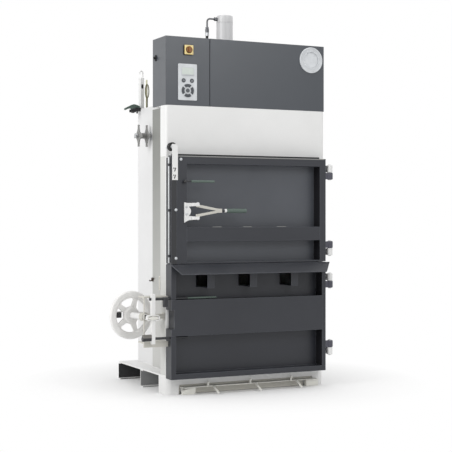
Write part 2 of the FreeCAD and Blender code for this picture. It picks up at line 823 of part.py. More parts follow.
def make_mains_inlet():
    """An oval rubber inlet on the cabinet's left side, with its pale gland."""
    oval = doc.addObject("Part::Ellipse", "inlet_oval")
    bind(oval, "MajorRadius", d.switch_side * 0.34)
    bind(oval, "MinorRadius", d.switch_side * 0.2)
    doc.recompute()
    face = Part.Face(Part.Wire(oval.Shape.Edges))
    doc.removeObject(oval.Name)
    turn = Rotation(Vector(0, 1, 0), -90)
    plate = face.extrude(Vector(0, 0, 4))
    gland = Part.makeCylinder(d.pipe_radius.value * 1.4, 9, Vector(0, 0, 4))
    solid = plate.fuse(gland).removeSplitter()
    solid.Placement = Placement(
        Vector(left.value, grommet_y.value, d.grommet_z.value), turn)
    inlet = doc.addObject("Part::Feature", "mains_inlet")
    inlet.Shape = solid
    keep("mains_inlet", inlet)


def make_main_switch():
    half = d.switch_side / 2
    plate_front = front - d.control_thick
    plate = new_body("switch_plate")
    pad(plate, "XZ", [rectangle(switch_x - half, switch_x + half, d.switch_z - half,
                                d.switch_z + half)], plate_front, front)
    fillet(plate, d.control_thick / 2,
           *[along_y(switch_x + half * i, d.switch_z + half * k)
             for i in (-1, 1) for k in (-1, 1)])
    keep("switch_plate", plate)

    # a round knob with a raised bar across it
    base = rod("switch_knob_base", d.switch_knob,
               (switch_x, plate_front - d.fit, d.switch_z), 8, TO_FRONT)
    bar = box("switch_knob_bar", switch_x - d.switch_knob * 0.28,
              switch_x + d.switch_knob * 0.28, plate_front - d.fit - 22,
              plate_front - d.fit - 8, d.switch_z - d.switch_knob,
              d.switch_z + d.switch_knob)
    keep("switch_knob", joined("switch_knob_body", [base, bar]))


def make_control_panel():
    low_x = control_x - d.control_width / 2
    high_x = control_x + d.control_width / 2
    panel_top = d.control_bottom + d.control_height
    face = front - d.control_thick
    panel = new_body("control_panel")
    pad(panel, "XZ", [rectangle(low_x, high_x, d.control_bottom, panel_top)], face, front)
    fillet(panel, d.control_thick,
           *[along_y(x, z) for x in (low_x, high_x) for z in (d.control_bottom, panel_top)])
    window = rectangle(control_x - d.control_width * 0.3,
                       control_x + d.control_width * 0.3,
                       panel_top - d.control_height * 0.34,
                       panel_top - d.control_height * 0.14)
    pocket(panel, "XZ", [window], face, face + d.control_thick / 3)
    keep("control_panel", panel)

    # two round keys, four keys of a ring and one in its middle
    keys = []
    key_z = d.pad_z + d.pad_radius * 1.5
    for side in (-1, 1):
        keys.append(rod(f"round_key_{side + 2}", d.pad_radius * 0.32,
                        (control_x + d.pad_radius * (0.68 * side), face, key_z),
                        2.5, TO_FRONT))
    keys.append(rod("middle_key", d.pad_radius * 0.3, (control_x, face, d.pad_z), 2.5,
                    TO_FRONT))
    for number in range(4):
        keys.append(ring_key(number, face))
    keep("control_keys", group("control_key_set", keys))


def ring_key(number, face):
    """A quarter of the four-way ring, with gaps to its neighbours."""
    outer = d.pad_radius.value
    inner = outer * 0.55
    half = math.radians(36)
    middle = math.radians(90 * number)

    def point(radius, angle):
        return Vector(radius * math.cos(angle), radius * math.sin(angle), 0)

    edges = [
        Part.Arc(point(outer, middle - half), point(outer, middle),
                 point(outer, middle + half)).toShape(),
        Part.makeLine(point(outer, middle + half), point(inner, middle + half)),
        Part.Arc(point(inner, middle + half), point(inner, middle),
                 point(inner, middle - half)).toShape(),
        Part.makeLine(point(inner, middle - half), point(outer, middle - half)),
    ]
    key = doc.addObject("Part::Feature", f"ring_key_{number + 1}")
    key.Shape = Part.Face(Part.Wire(edges)).extrude(Vector(0, 0, 2.5))
    key.Placement = Placement(Vector(control_x.value, face.value, d.pad_z.value), TO_FRONT)
    return key


def make_badge():
    """A round badge: a disc with a raised plain ring."""
    ring = d.badge_radius
    outline = [(0, 0), (ring, 0), (ring, 4), (ring * 0.84, 5), (ring * 0.8, 3),
               (ring * 0.62, 3), (ring * 0.6, 4), (0, 4)]
    badge = turned("round_badge", outline, (badge_x, front, d.badge_z), TO_FRONT)
    keep("round_badge", badge)


# Press ---------------------------------------------------------------------------------------


def bent_tube(label, radius, points):
    """A round tube along straight runs joined by arcs as large as the runs allow."""
    points = [Vector(*point) for point in points]
    edges = []
    start = points[0]
    radii = []
    for before, corner, after in zip(points, points[1:], points[2:]):
        into = corner - before
        out = after - corner
        shorter = min(into.Length, out.Length)
        turn = into.getAngle(out)
        reach = 0.45 * shorter
        radii.append(reach / math.tan(turn / 2))
        first = corner - into.normalize() * reach
        last = corner + out.normalize() * reach
        middle = (first + last) * 0.5
        bow = radii[-1] / math.cos(turn / 2) - radii[-1]
        arc_middle = corner + (middle - corner).normalize() * bow
        edges.append(Part.makeLine(start, first))
        edges.append(Part.Arc(first, arc_middle, last).toShape())
        start = last
    edges.append(Part.makeLine(start, points[-1]))
    path = Part.Wire(edges)
    section = Part.Wire(Part.makeCircle(radius, points[0], points[1] - points[0]))
    solid = path.makePipeShell([section], True, True)
    print(label, "length", round(path.Length, 1), "radii", [round(r) for r in radii],
          "volume ratio", round(solid.Volume / (math.pi * radius ** 2 * path.Length), 4))
    tube = doc.addObject("Part::Feature", label)
    tube.Shape = solid
    return tube


def make_cylinder():
    """The cylinder with its gland, cap and port, and the steel pipe to the hose."""
    outer = d.barrel_radius
    gland_top = d.barrel_bottom + d.gland_height
    cap_bottom = d.barrel_top - d.cap_height
    base = (0, ram_y, 0)

    barrel = turned("cylinder_barrel", [
        (d.barrel_bore, gland_top),
        (outer, gland_top),
        (outer, cap_bottom),
        (d.barrel_bore, cap_bottom),
    ], base, Rotation())

    gland = turned("cylinder_gland", [
        (d.rod_radius + d.running, d.barrel_bottom),
        (outer - 3, d.barrel_bottom),
        (outer, d.barrel_bottom + 3),
        (outer, gland_top),
        (d.rod_radius + d.running, gland_top),
    ], base, Rotation())

    cap = turned("cylinder_cap", [
        (0, cap_bottom),
        (outer, cap_bottom),
        (outer, d.barrel_top - 5),
        (outer - 5, d.barrel_top),
        (0, d.barrel_top),
    ], base, Rotation())

    port_z = d.barrel_top - d.cap_height * 0.55
    boss = rod("port_boss", d.pipe_radius * 2.2, (-outer + 4, ram_y, port_z), 24, TO_LEFT)
    fitted = less("port_fitting", boss, rod("port_seat", outer, (0, ram_y, cap_bottom),
                                            d.cap_height))
    pipe_start = -(outer + 20)
    drop_x = pipe_start - 43
    pipe = bent_tube("steel_pipe", d.pipe_radius.value, [
        (pipe_start.value, ram_y.value, port_z.value),
        (drop_x.value, ram_y.value, port_z.value),
        (drop_x.value, ram_y.value, port_z.value - 53),
    ])
    ferrule_top = port_z - 53
    ferrule = rod("hose_ferrule", d.hose_radius * 1.4, (drop_x, ram_y, ferrule_top - 28),
                  28)
    keep("cylinder", group("cylinder_set", [barrel, gland, cap, fitted, pipe, ferrule]))
    return drop_x, ferrule_top - 28


def make_ram():
    """The piston rod with its piston, and the platen that it carries."""
    platen_top = d.platen_bottom + d.platen_height
    piston_top = d.barrel_top - d.cap_height - d.piston_gap
    piston_rest = piston_top - d.piston_height
    rod_body = turned("piston_rod", [
        (0, platen_top),
        (d.rod_radius * 1.7, platen_top),
        (d.rod_radius * 1.7, platen_top + 6),
        (d.rod_radius, platen_top + 6),
        (d.rod_radius, piston_rest),
        (d.barrel_bore - d.running, piston_rest),
        (d.barrel_bore - d.running, piston_top),
        (0, piston_top),
    ], (0, ram_y, 0), Rotation())
    keep("piston_rod", rod_body)

    reach = wall_x - d.side_wall - d.platen_gap
    low_y = platen_front
    high_y = chamber_rear - d.platen_gap
    plate_top = d.platen_bottom + d.platen_plate
    platen = slab("press_platen", -reach, reach, low_y, high_y, d.platen_bottom, platen_top)
    # five open bays between the stiffeners on top, three strap grooves below
    bays = []
    columns, rows = 3, 2
    rib = d.platen_plate
    # a solid boss stays under the rod in the middle bay
    width = (reach * 2 - rib * (columns + 1)) / columns
    depth = (high_y - low_y - rib * (rows + 1)) / rows
    for i in range(columns):
        for k in range(rows):
            if i == 1 and k == 0:
                continue
            x0 = -reach + rib + (width + rib) * i
            y0 = low_y + rib + (depth + rib) * k
            bays.append(rectangle(x0, x0 + width, y0, y0 + depth))
    pocket(platen, "XY", bays, plate_top, platen_top)
    grooves = []
    for number in (-1, 0, 1):
        middle = d.strap_pitch * number
        grooves.append(rectangle(middle - d.strap_groove_width / 2,
                                 middle + d.strap_groove_width / 2, low_y, high_y))
    pocket(platen, "XY", grooves, d.platen_bottom, d.platen_bottom + d.strap_groove_depth)
    keep("press_platen", platen)


def make_crosshead():
    """Two steel channels between the side walls, with the cylinder's flange between them."""
    inside = wall_x - d.side_wall
    clear = d.barrel_radius + 3 + d.fit
    bottom = d.crosshead_bottom
    top = bottom + d.crosshead_height
    wall = d.crosshead_wall
    channels = []
    for side, name in ((-1, "front"), (1, "back")):
        web = ram_y + clear * side
        edge = web + d.crosshead_flange * side
        outline = [
            (web, bottom),
            (edge, bottom),
            (edge, bottom + wall),
            (web + wall * side, bottom + wall),
            (web + wall * side, top - wall),
            (edge, top - wall),
            (edge, top),
            (web, top),
        ]
        body = new_body("crosshead_" + name)
        pad(body, "YZ", [outline], -inside, inside)
        channels.append(body)
    flange = new_body("cylinder_flange")
    reach = d.crosshead_flange + clear
    plan = rectangle(-reach, reach, ram_y - reach, ram_y + reach)
    pad(flange, "XY", [plan, (0, ram_y, d.barrel_radius)], top, top + d.crosshead_wall)
    keep("crosshead", group("crosshead_set", [*channels, flange]))
    return ram_y + reach


def make_power_unit(flange_back, hose_x, hose_top):
    """A shelf over the chamber with the oil tank, the motor, the valve block and the hose."""
    inside = wall_x - d.side_wall
    shelf_top = d.side_wall_top
    shelf = slab("power_shelf", -inside, inside, flange_back + d.fit, chamber_rear,
                 shelf_top - d.shelf_thick, shelf_top)
    tank_top = shelf_top + d.tank_height
    tank_left = -inside * 0.2
    tank_right = inside * 0.92
    tank_front = flange_back + 20
    tank_back = chamber_rear - 20
    tank = slab("oil_tank", tank_left, tank_right, tank_front, tank_back, shelf_top, tank_top)
    fillet(tank, 12, *[upright(x, y) for x in (tank_left, tank_right)
                       for y in (tank_front, tank_back)])
    motor_y = (tank_front + tank_back) / 2
    motor_z = tank_top + d.motor_radius + 8
    body = rod("motor_body", d.motor_radius, (tank_left + 90, motor_y, motor_z), 200, TO_X)
    nose = rod("pump_nose", d.motor_radius * 0.6, (tank_left + 30, motor_y, motor_z), 62, TO_X)
    foot = box("motor_foot", tank_left + 110, tank_left + 270, motor_y - d.motor_radius * 0.8,
               motor_y + d.motor_radius * 0.8, tank_top, motor_z - d.motor_radius * 0.55)
    motor = joined("pump_motor", [body, nose, foot])

    valve_x = hose_x - 30
    valve_y = ram_y + 155
    block_top = shelf_top + 78
    block = slab("valve_block", valve_x - 26, valve_x + 26, valve_y - 30, valve_y + 40,
                 shelf_top, block_top)
    ferrule = rod("lower_ferrule", d.hose_radius * 1.4, (valve_x, valve_y, block_top), 28)
    keep("power_unit", group("power_unit_set", [shelf, tank, motor, block, ferrule]))

    # the hose leaves both ferrules straight and crosses to the back between them
    start = Vector(hose_x.value, ram_y.value, hose_top.value)
    end = Vector(valve_x.value, valve_y.value, (block_top + 28).value)
    course = ((0, 0, 0), (0, 0, 0.201), (0.15, 0.175, 0.381), (0.48, 0.481, 0.51),
              (0.85, 0.813, 0.622), (1, 1, 0.799), (1, 1, 1))
    span = end - start
    points = [(start.x + span.x * a, start.y + span.y * b, start.z + span.z * c)
              for a, b, c in course]
    hose = bent_tube("hydraulic_hose", d.hose_radius.value, points)
    keep("hydraulic_hose", hose)


# Hinges --------------------------------------------------------------------------------------


def knuckle(label, height, side, bore, leaf):
    """A hinge knuckle above or below a height, with its leaf."""
    low = height if side > 0 else height - d.knuckle_height
    low = low + d.fit / 2 * side
    high = low + d.knuckle_height
    round_part = rod(label + "_round", d.knuckle_radius, (hinge_x, hinge_y, low),
                     d.knuckle_height)
    x0, x1, y0, y1 = leaf
    plate = box(label + "_leaf", x0, x1, y0, y1, low, high)
    solid = joined(label + "_solid", [round_part, plate])
    hole = rod(label + "_bore", bore, (hinge_x, hinge_y, low - 1), d.knuckle_height + 2)
    return less(label, solid, hole)


def make_hinges():
    # the frame's knuckle stands above the door's on the first and the third hinge
    hinges = ((d.hinge_1, 1, "upper"), (d.hinge_2, -1, "upper"), (d.hinge_3, 1, "lower"),
              (d.hinge_4, -1, "lower"))
    leaf_right = right - d.column_corner
    frame_leaf = (leaf_right - d.hinge_leaf * 1.4, leaf_right, hinge_y, front)
    door_leaf = (door_right, hinge_x, hinge_y - d.hinge_leaf / 2, hinge_y + d.hinge_leaf / 2)
    fixed = []
    moving = {"upper": [], "lower": []}
    for number, (height, side, door) in enumerate(hinges, start=1):
        fixed.append(knuckle(f"frame_knuckle_{number}", height, side, d.pin_radius,
                             frame_leaf))
        moving[door].append(knuckle(f"door_knuckle_{number}", height, -side,
                                    d.pin_radius + d.running, door_leaf))
        fixed.append(rod(f"hinge_pin_{number}", d.pin_radius,
                         (hinge_x, hinge_y, height - d.knuckle_height - 4),
                         (d.knuckle_height + 4) * 2))
    keep("frame_hinges", group("frame_hinge_set", fixed))
    keep("upper_door_hinges", group("upper_door_hinge_set", moving["upper"]))
    keep("lower_door_hinges", group("lower_door_hinge_set", moving["lower"]))


# Upper door ----------------------------------------------------------------------------------


def make_upper_door():
    frame_left = left + d.strip_width
    recess_left = left + d.upper_stile
    recess_right = door_right - d.upper_right_rim
    body = new_body("upper_door_frame")
    pad(body, "XZ", [rectangle(frame_left, door_right, d.split, upper_top)], door_front,
        door_back)
    pocket(body, "XZ", [rectangle(recess_left, recess_right, d.split + d.upper_bottom_rim,
                                  upper_top - d.upper_top_rim)], door_front, sheet_front)
    keep("upper_door_frame", body)

    # folded strip along the free edge, the stiffening rib, and the lock rod's guides
    turn_back = d.door_depth / 2
    strip = new_body("lock_strip")
    outline = [
        (left, door_front),
        (frame_left, door_front),
        (frame_left, door_front + d.side_wall),
        (left + d.side_wall, door_front + d.side_wall),
        (left + d.side_wall, door_front + turn_back),
        (left, door_front + turn_back),
    ]
    pad(strip, "XY", [outline], d.split, upper_top)
    rib = new_body("door_rib")
    pad(rib, "YZ", [channel(door_front, sheet_front, d.rib_bottom, d.rib_height,
                            d.door_sheet, d.door_sheet)], recess_left, recess_right)
    guides = [rod_guide(number) for number in range(3)]
    keep("upper_door_ribs", group("upper_door_rib_set", [strip, rib, *guides]))


def channel(face, back, bottom, height, face_thick, flange):
    """A channel's section, its web to the front."""
    top = bottom + height
    return [
        (face, bottom),
        (back, bottom),
        (back, bottom + flange),
        (face + face_thick, bottom + flange),
        (face + face_thick, top - flange),
        (back, top - flange),
        (back, top),
        (face, top),
    ]


def upright_rod_place():
    """The upright lock rod's axis, lower end and upper end."""
    x = left - d.rod_outset
    y = door_front + d.rod_set_back
    return x, y, d.split + 5, upper_top - 10


def rod_guide(number):
    """A guide on the strip's outer face."""
    x, y, low, high = upright_rod_place()
    z = low + 30 + (high - low - 77) / 2 * number
    reach = d.rod_pin_radius + 2
    block = box(f"guide_block_{number + 1}", x - reach + 1, left, y - reach, y + reach, z,
                z + 14)
    hole = rod(f"guide_bore_{number + 1}", d.rod_pin_radius + d.running, (x, y, z - 1), 16)
    return less(f"rod_guide_{number + 1}", block, hole)


def make_upper_latch():
    """The slotted catch plate, the upright lock rod and the lever that lifts it."""
    plate_left = left + 3
    plate_right = plate_left + d.catch_width
    face = door_front - d.catch_thick
    middle = (plate_left + plate_right) / 2
    plate = new_body("slotted_plate")
    pad(plate, "XZ", [rectangle(plate_left, plate_right, catch_bottom, catch_top)], face,
        door_front)
    slots = []
    bolts = []
    for number in range(2):
        z = catch_bottom + 20 + 36 * number
        slots.append([(middle - 11, z - 9), (middle - 3, z - 9), (middle + 5, z + 9),
                      (middle - 3, z + 9)])
        bolts.append(rod(f"slot_bolt_{number + 1}", 3.4, (middle - 3, door_front, z),
                         d.catch_thick + 4, TO_FRONT))
    pocket(plate, "XZ", slots, face, door_front)
    corners = [along_y(x, z) for x in (plate_left, plate_right)
               for z in (catch_bottom, catch_top)]
    fillet(plate, 7, *corners)
    # round caps over the bolts of the stile
    caps = []
    stile = left + d.upper_stile
    places = ((stile - 37, upper_top - 21), (stile - 65, d.fork_z + 3),
              (stile - 65, d.split + 32))
    for number, (x, z) in enumerate(places, start=1):
        caps.append(rod(f"bolt_cap_{number}", d.cap_radius, (x, door_front, z), 4, TO_FRONT))
    keep("catch_plate", group("catch_plate_set", [plate, *bolts, *caps]))

    x, y, low, high = upright_rod_place()
    keep("upright_lock_rod", rod("lock_rod_bar", d.rod_pin_radius, (x, y, low), high - low))

    lever_y = door_front - d.handle_gap - d.lever_grip
    base = (lever_x, lever_y, d.lever_z)
    bar = rod("lever_bar", 4, base, d.lever_stem, TO_X)
    boss = rod("lever_boss", d.lever_grip, (lever_x, door_front - d.fit, d.lever_z),
               d.handle_gap + d.lever_grip * 2, TO_FRONT)
    keep("latch_lever", joined("latch_lever_solid", [bar, boss]))
    keep("latch_grip", turned("latch_grip_body", grip_outline(
        d.lever_stem, d.lever_length, d.lever_grip), base, TO_X))


def grip_outline(start, end, radius):
    """A round grip, slightly fuller in the middle and domed at its end."""
    start, end = as_size(start), as_size(end)
    return [
        (0, start),
        (radius * 0.8, start),
        (radius * 0.86, start + radius * 0.5),
        (radius, start + radius * 2),
        (radius, end - radius * 2),
        (radius * 0.92, end - radius * 0.6),
        (radius * 0.6, end - radius * 0.12),
        (0, end),
    ]


def make_fork_handle():
    """A fork whose two eyes turn on short upright pins in a C-shaped yoke."""
    pivot_y = door_front - d.fork_stand_off
    half_depth = d.fork_depth / 2
    outer = (d.fork_spread + d.fork_bar) / 2
    inner = outer - d.fork_bar
    back = fork_x - d.fork_eye
    bend = fork_x + d.fork_eye + 3
    meet = fork_x + d.fork_meet
    end = fork_x + d.fork_reach
    upper = [(back, outer), (bend, outer), (meet, 13), (end, 13)]
    cleft = [(back, inner), (bend + 1, inner), (meet - 6, 0)]
    arms = new_body("fork_plate")
    outline = ([(x, d.fork_z + z) for x, z in upper]
               + [(x, d.fork_z - z) for x, z in reversed(upper)]
               + [(x, d.fork_z - z) for x, z in cleft]
               + [(x, d.fork_z + z) for x, z in reversed(cleft[:2])])
    pad(arms, "XZ", [outline], pivot_y - half_depth, pivot_y + half_depth)
    fillet(arms, d.fork_depth * 0.42, upright(back, pivot_y - half_depth),
           upright(back, pivot_y + half_depth))
    pocket(arms, "XY", [(fork_x, pivot_y, d.fork_pin + d.running)], d.fork_z - outer,
           d.fork_z + outer)
    stem_end = d.fork_reach + d.fork_stem
    stem = turned("fork_stem_bar", [
        (0, d.fork_reach - 10),
        (6, d.fork_reach - 10),
        (6, d.fork_reach + 9),
        (8.5, d.fork_reach + 10),
        (10.5, d.fork_reach + 12),
        (10.5, d.fork_reach + 23),
        (6, d.fork_reach + 25),
        (6, stem_end),
        (0, stem_end),
    ], (fork_x, pivot_y, d.fork_z), TO_X)
    keep("fork_arms", joined("fork_arms_solid", [arms, stem]))
    keep("fork_grip", turned("fork_grip_body", grip_outline(
        stem_end, stem_end + d.fork_grip, d.grip_radius), (fork_x, pivot_y, d.fork_z), TO_X))

    # the yoke's arms end short of the eyes and carry an ear beside each
    yoke_left = fork_x - d.yoke_length
    yoke_back = yoke_left + d.yoke_back
    arm_end = back - 1.5
    ear_end = fork_x + d.fork_eye - 1
    ear_top = inner - d.fit
    ear_low = ear_top - 13.5
    arm_low = d.yoke_rise - d.yoke_arm
    profile = [(yoke_left, d.yoke_rise), (arm_end, d.yoke_rise), (arm_end, ear_top),
               (ear_end, ear_top), (ear_end, ear_low), (arm_end, ear_low),
               (arm_end - 4, arm_low), (yoke_back, arm_low)]
    half_yoke = d.yoke_depth / 2
    yoke = new_body("yoke_plate")
    pad(yoke, "XZ", [[(x, d.fork_z + z) for x, z in profile]
                     + [(x, d.fork_z - z) for x, z in reversed(profile)]],
        pivot_y - half_yoke, pivot_y + half_yoke)
    foot = box("yoke_foot", yoke_left, yoke_back, pivot_y + half_yoke, door_front,
               d.fork_z - d.yoke_rise, d.fork_z + d.yoke_rise)
    disc = rod("yoke_boss", d.yoke_disc, (yoke_left + 10, door_front, d.fork_z),
               d.fork_stand_off + half_yoke - 3, TO_FRONT)
    pins = [rod(f"fork_pin_{number + 1}", d.fork_pin, (fork_x, pivot_y, z),
                outer - ear_low + 1)
            for number, z in enumerate((d.fork_z + ear_low, d.fork_z - outer - 1))]
    keep("fork_bracket", joined("fork_bracket_solid", [yoke, foot, disc, *pins]))


def make_door_roller():
    """The roller on the upper panel, behind the catch plate's upper end."""
    x = left + d.column_wall + 8
    base = (x, front, roller_z)
    roller_low = d.door_depth - 31
    roller_high = d.door_depth - 6
    axle = turned("roller_axle", [
        (0, 0),
        (11, 0),
        (11, 5),
        (9, 8),
        (9, roller_low - 1),
        (6, roller_low - 1),
        (6, roller_high + 1),
        (d.roller_cap, roller_high + 1),
        (d.roller_cap, roller_high + 5),
        (0, roller_high + 5),
    ], base, TO_FRONT)
    keep("roller_axle", axle)
    roller = turned("door_roller", [
        (6 + d.running, roller_low),
        (d.roller_radius - 2, roller_low),
        (d.roller_radius, roller_low + 2),
        (d.roller_radius, roller_high - 2),
        (d.roller_radius - 2, roller_high),
        (6 + d.running, roller_high),
    ], base, TO_FRONT)
    keep("door_roller", roller)


# Lower door ----------------------------------------------------------------------------------


def lock_rod_heights():
    """The upper lock rod runs over the beam, the lower one under it."""
    return (d.beam_bottom + d.beam_height + d.lock_rod_radius + d.fit,
            d.beam_bottom - d.lock_rod_radius - 2)


def make_lower_door():
    recess_right = door_right - d.lower_right_rim
    body = new_body("lower_door_frame")
    pad(body, "XZ", [rectangle(left, door_right, d.lower_bottom, lower_top)], door_front,
        door_back)
    pocket(body, "XZ", [rectangle(left + d.lower_rim, recess_right,
                                  d.lower_bottom + d.lower_rim, lower_top - d.lower_rim)],
           door_front, sheet_front)
    notch = rectangle(left - 1, left + d.lower_rim * 0.6, d.beam_bottom + 36,
                      d.beam_bottom + 136)
    pocket(body, "XZ", [notch], door_front, door_back)
    upper, lower = lock_rod_heights()
    holes = [(crossbar_y, z, d.lock_rod_radius + d.fit) for z in (upper, lower)]
    pocket(body, "YZ", holes, left, left + d.lower_rim)
    strap_lines = [d.strap_pitch * number for number in (-1, 0, 1)]
    slot_low = d.block_bottom + (d.block_height - d.slot_height) / 2
    slots = [rectangle(x - d.slot_reach, x + d.slot_inner, slot_low, slot_low + d.slot_height)
             for x in strap_lines]
    pocket(body, "XZ", slots, sheet_front, door_back)
    keep("lower_door_frame", body)

    beam = new_body("door_beam")
    face = door_front - d.beam_proud
    pad(beam, "YZ", [channel(face, sheet_front, d.beam_bottom, d.beam_height, d.beam_proud,
                             d.door_sheet)], left + d.lower_rim, recess_right)
    pad(beam, "XZ", [rectangle(left, left + d.lower_rim, d.beam_bottom,
                               d.beam_bottom + d.beam_height)], face, door_front)
    pocket(beam, "XZ", [notch], face, door_front)
    # each box rib is open to its strap slot on the left
    blocks = []
    half = d.block_width / 2
    for number, middle in enumerate(strap_lines, start=1):
        block = slab(f"box_rib_{number}", middle - half, middle + half, door_front,
                     sheet_front, d.block_bottom, d.block_bottom + d.block_height)
        hollow = rectangle(middle - half, middle + half - d.side_wall,
                           door_front + d.side_wall, sheet_front)
        pocket(block, "XY", [hollow], d.block_bottom + d.side_wall,
               d.block_bottom + d.block_height - d.side_wall)
        blocks.append(block)
    keep("lower_door_ribs", group("lower_door_rib_set", [beam, *blocks]))

    lip_left = left.value - 2
    lip_right = (door_right + d.lip_overhang).value
    y0, z0 = door_front.value, lower_top.value
    y1, z1 = y0 - d.lip_reach.value, z0 - d.lip_drop.value
    corners = [Vector(lip_left, y0, z0), Vector(lip_right, y0, z0),
               Vector(lip_right - d.lip_mitre_right.value, y1, z1),
               Vector(lip_left + d.lip_mitre.value, y1, z1)]
    sheet_face = Part.Face(Part.makePolygon([*corners, corners[0]]))
    slope = Vector(0, y1 - y0, z1 - z0)
    normal = Vector(1, 0, 0).cross(slope).normalize()
    if normal.z > 0:
        normal = normal * -1
    sheet_solid = sheet_face.extrude(normal * d.door_sheet.value)
    keep_back = Part.makeBox(lip_right - lip_left, 50, 100, Vector(lip_left, y0, z0 - 90))
    lip = doc.addObject("Part::Feature", "lip_sheet")
    lip.Shape = sheet_solid.cut(keep_back)
    keep("lower_door_lip", lip)


# Door lock at the left side ------------------------------------------------------------------


def tilt_tangent(run):
    """Sideways travel of the handwheel's axis over a run along Y."""
    value = run.value * math.tan(math.radians(d.lock_tilt.value))
    return Size(value, f"({run.formula} * tan({d.lock_tilt.formula} * 1 deg))")


def lock_frame():
    """The turn that lays a piece's Z axis on the handwheel's axis, front end forward."""
    return Rotation(Vector(0, 0, 1), d.lock_tilt.value).multiply(TO_FRONT)


def along_axis(run):
    """Length along the tilted axis for a run along Y."""
    value = run.value / math.cos(math.radians(d.lock_tilt.value))
    return Size(value, f"({run.formula} / cos({d.lock_tilt.formula} * 1 deg))")


def make_crossbar():
    """The crossbar with its eye, the two lock rods and the lower green grip."""
    head_y = crossbar_y - d.crossbar_thick / 2 - d.head_gap - d.head_thick / 2
    x = wheel_x + tilt_tangent(wheel_y - head_y)
    half = d.crossbar_width / 2
    y0 = crossbar_y - d.crossbar_thick / 2
    y1 = crossbar_y + d.crossbar_thick / 2
    bar = new_body("crossbar_body")
    pad(bar, "XZ", [rectangle(x - half, x + half, d.crossbar_bottom, d.crossbar_top)], y0, y1)
    reach = d.eye_length / 2 + d.eye_wall + 1
    rise = d.eye_height / 2 + d.eye_wall
    taper = d.eye_wall * 2
    eye = [(x + a, d.wheel_z + b) for a, b in (
        (-reach, -rise / 2), (taper - reach, -rise), (reach - taper, -rise),
        (reach, -rise / 2), (reach, rise / 2), (reach - taper, rise),
        (taper - reach, rise), (-reach, rise / 2))]
    pad(bar, "XZ", [eye], y0, y1)
    hole = rectangle(x - d.eye_length / 2, x + d.eye_length / 2,
                     d.wheel_z - d.eye_height / 2, d.wheel_z + d.eye_height / 2)
    pocket(bar, "XZ", [hole], y0, y1)
    heights = lock_rod_heights()
    rod_holes = [(crossbar_y, z, d.lock_rod_radius) for z in heights]
    pocket(bar, "YZ", rod_holes, x - half, x + half)
    keep("lock_crossbar", bar)

    upper, lower = heights
    rods = []
    starts = (x - 20, x - 57)
    for number, (z, start) in enumerate(zip(heights, starts), start=1):
        rods.append(rod(f"lock_rod_{number}", d.lock_rod_radius, (start, crossbar_y, z),
                        rods_end - start, TO_X))
    # the lower rod's left end carries a thick sleeve
    sleeve_end = x - half - d.fit
    sleeve = rod("lock_rod_sleeve", d.sleeve_radius, (starts[1] - 2, crossbar_y, lower),
                 sleeve_end - starts[1] + 2, TO_X)
    rods[1] = joined("lower_lock_rod", [rods[1], sleeve])
    keep("lock_rods", group("lock_rod_set", rods))
    bar = rod("grip_stem", d.lower_grip - 1, (rods_end, crossbar_y, upper), d.lower_stem,
              TO_X)
    handle = turned("grip_handle", grip_outline(
        d.lower_stem, d.lower_stem + d.lower_grip_length, d.lower_grip),
        (rods_end, crossbar_y, upper), TO_X)
    keep("lower_grip", joined("lower_grip_solid", [bar, handle]))
    return head_y


def make_lock_bracket():
    """The welded frame at the left column, with the arm that carries the spindle's housing."""
    y0 = front - 35
    y1 = front + d.hinge_y * -0.7
    plate = d.bracket_plate
    upper = box("bracket_upper", bracket_left, left, y0, y1, d.bracket_top - plate,
                d.bracket_top)
    lower = box("bracket_lower", bracket_left, left, y0, y1, d.bracket_bottom,
                d.bracket_bottom + plate)
    tie = box("bracket_tie", bracket_left, bracket_left + d.tie_side, y0, y0 + d.tie_side,
              d.bracket_bottom, d.bracket_top)
    lip = box("bracket_lip", bracket_left, left, y0, y0 + 6, d.bracket_bottom - 20,
              d.bracket_bottom)
    turn = lock_frame()
    base = (wheel_x, wheel_y, d.wheel_z)
    # the arm ends in a ring around the housing, a little behind the housing's front end
    ring_start = d.housing_end - d.arm_depth - 4
    arm_x, arm_y, arm_z = place_along(ring_start + d.arm_depth / 2)
    half_arm = d.arm_height / 2
    half_depth = d.arm_depth / 2 - 1
    arm = box("bracket_arm", arm_x, left, arm_y - half_depth, arm_y + half_depth,
              arm_z - half_arm, arm_z + half_arm)
    flange = box("bracket_flange", left - d.clamp_wall, left, arm_y - half_depth,
                 arm_y + half_depth, arm_z - half_arm * 1.6, arm_z + half_arm * 1.6)
    clamp = rod("housing_clamp", d.housing_radius + d.clamp_wall, place_along(ring_start),
                d.arm_depth, turn)
    solid = joined("bracket_frame", [upper, lower, tie, lip, arm, flange, clamp])
    bore = rod("housing_seat", d.housing_radius, base, d.housing_end + 40, turn)
    keep("lock_bracket", less("lock_bracket_solid", solid, bore))

    bore_radius = d.spindle_radius + d.running
    start = d.hub_height + 1
    housing = turned("spindle_housing", [
        (bore_radius, start),
        (d.housing_radius - 3, start),
        (d.housing_radius, start + 5),
        (d.housing_radius, d.housing_end - 3),
        (d.housing_radius - 3, d.housing_end),
        (bore_radius, d.housing_end),
    ], base, turn)
    keep("spindle_housing", housing)


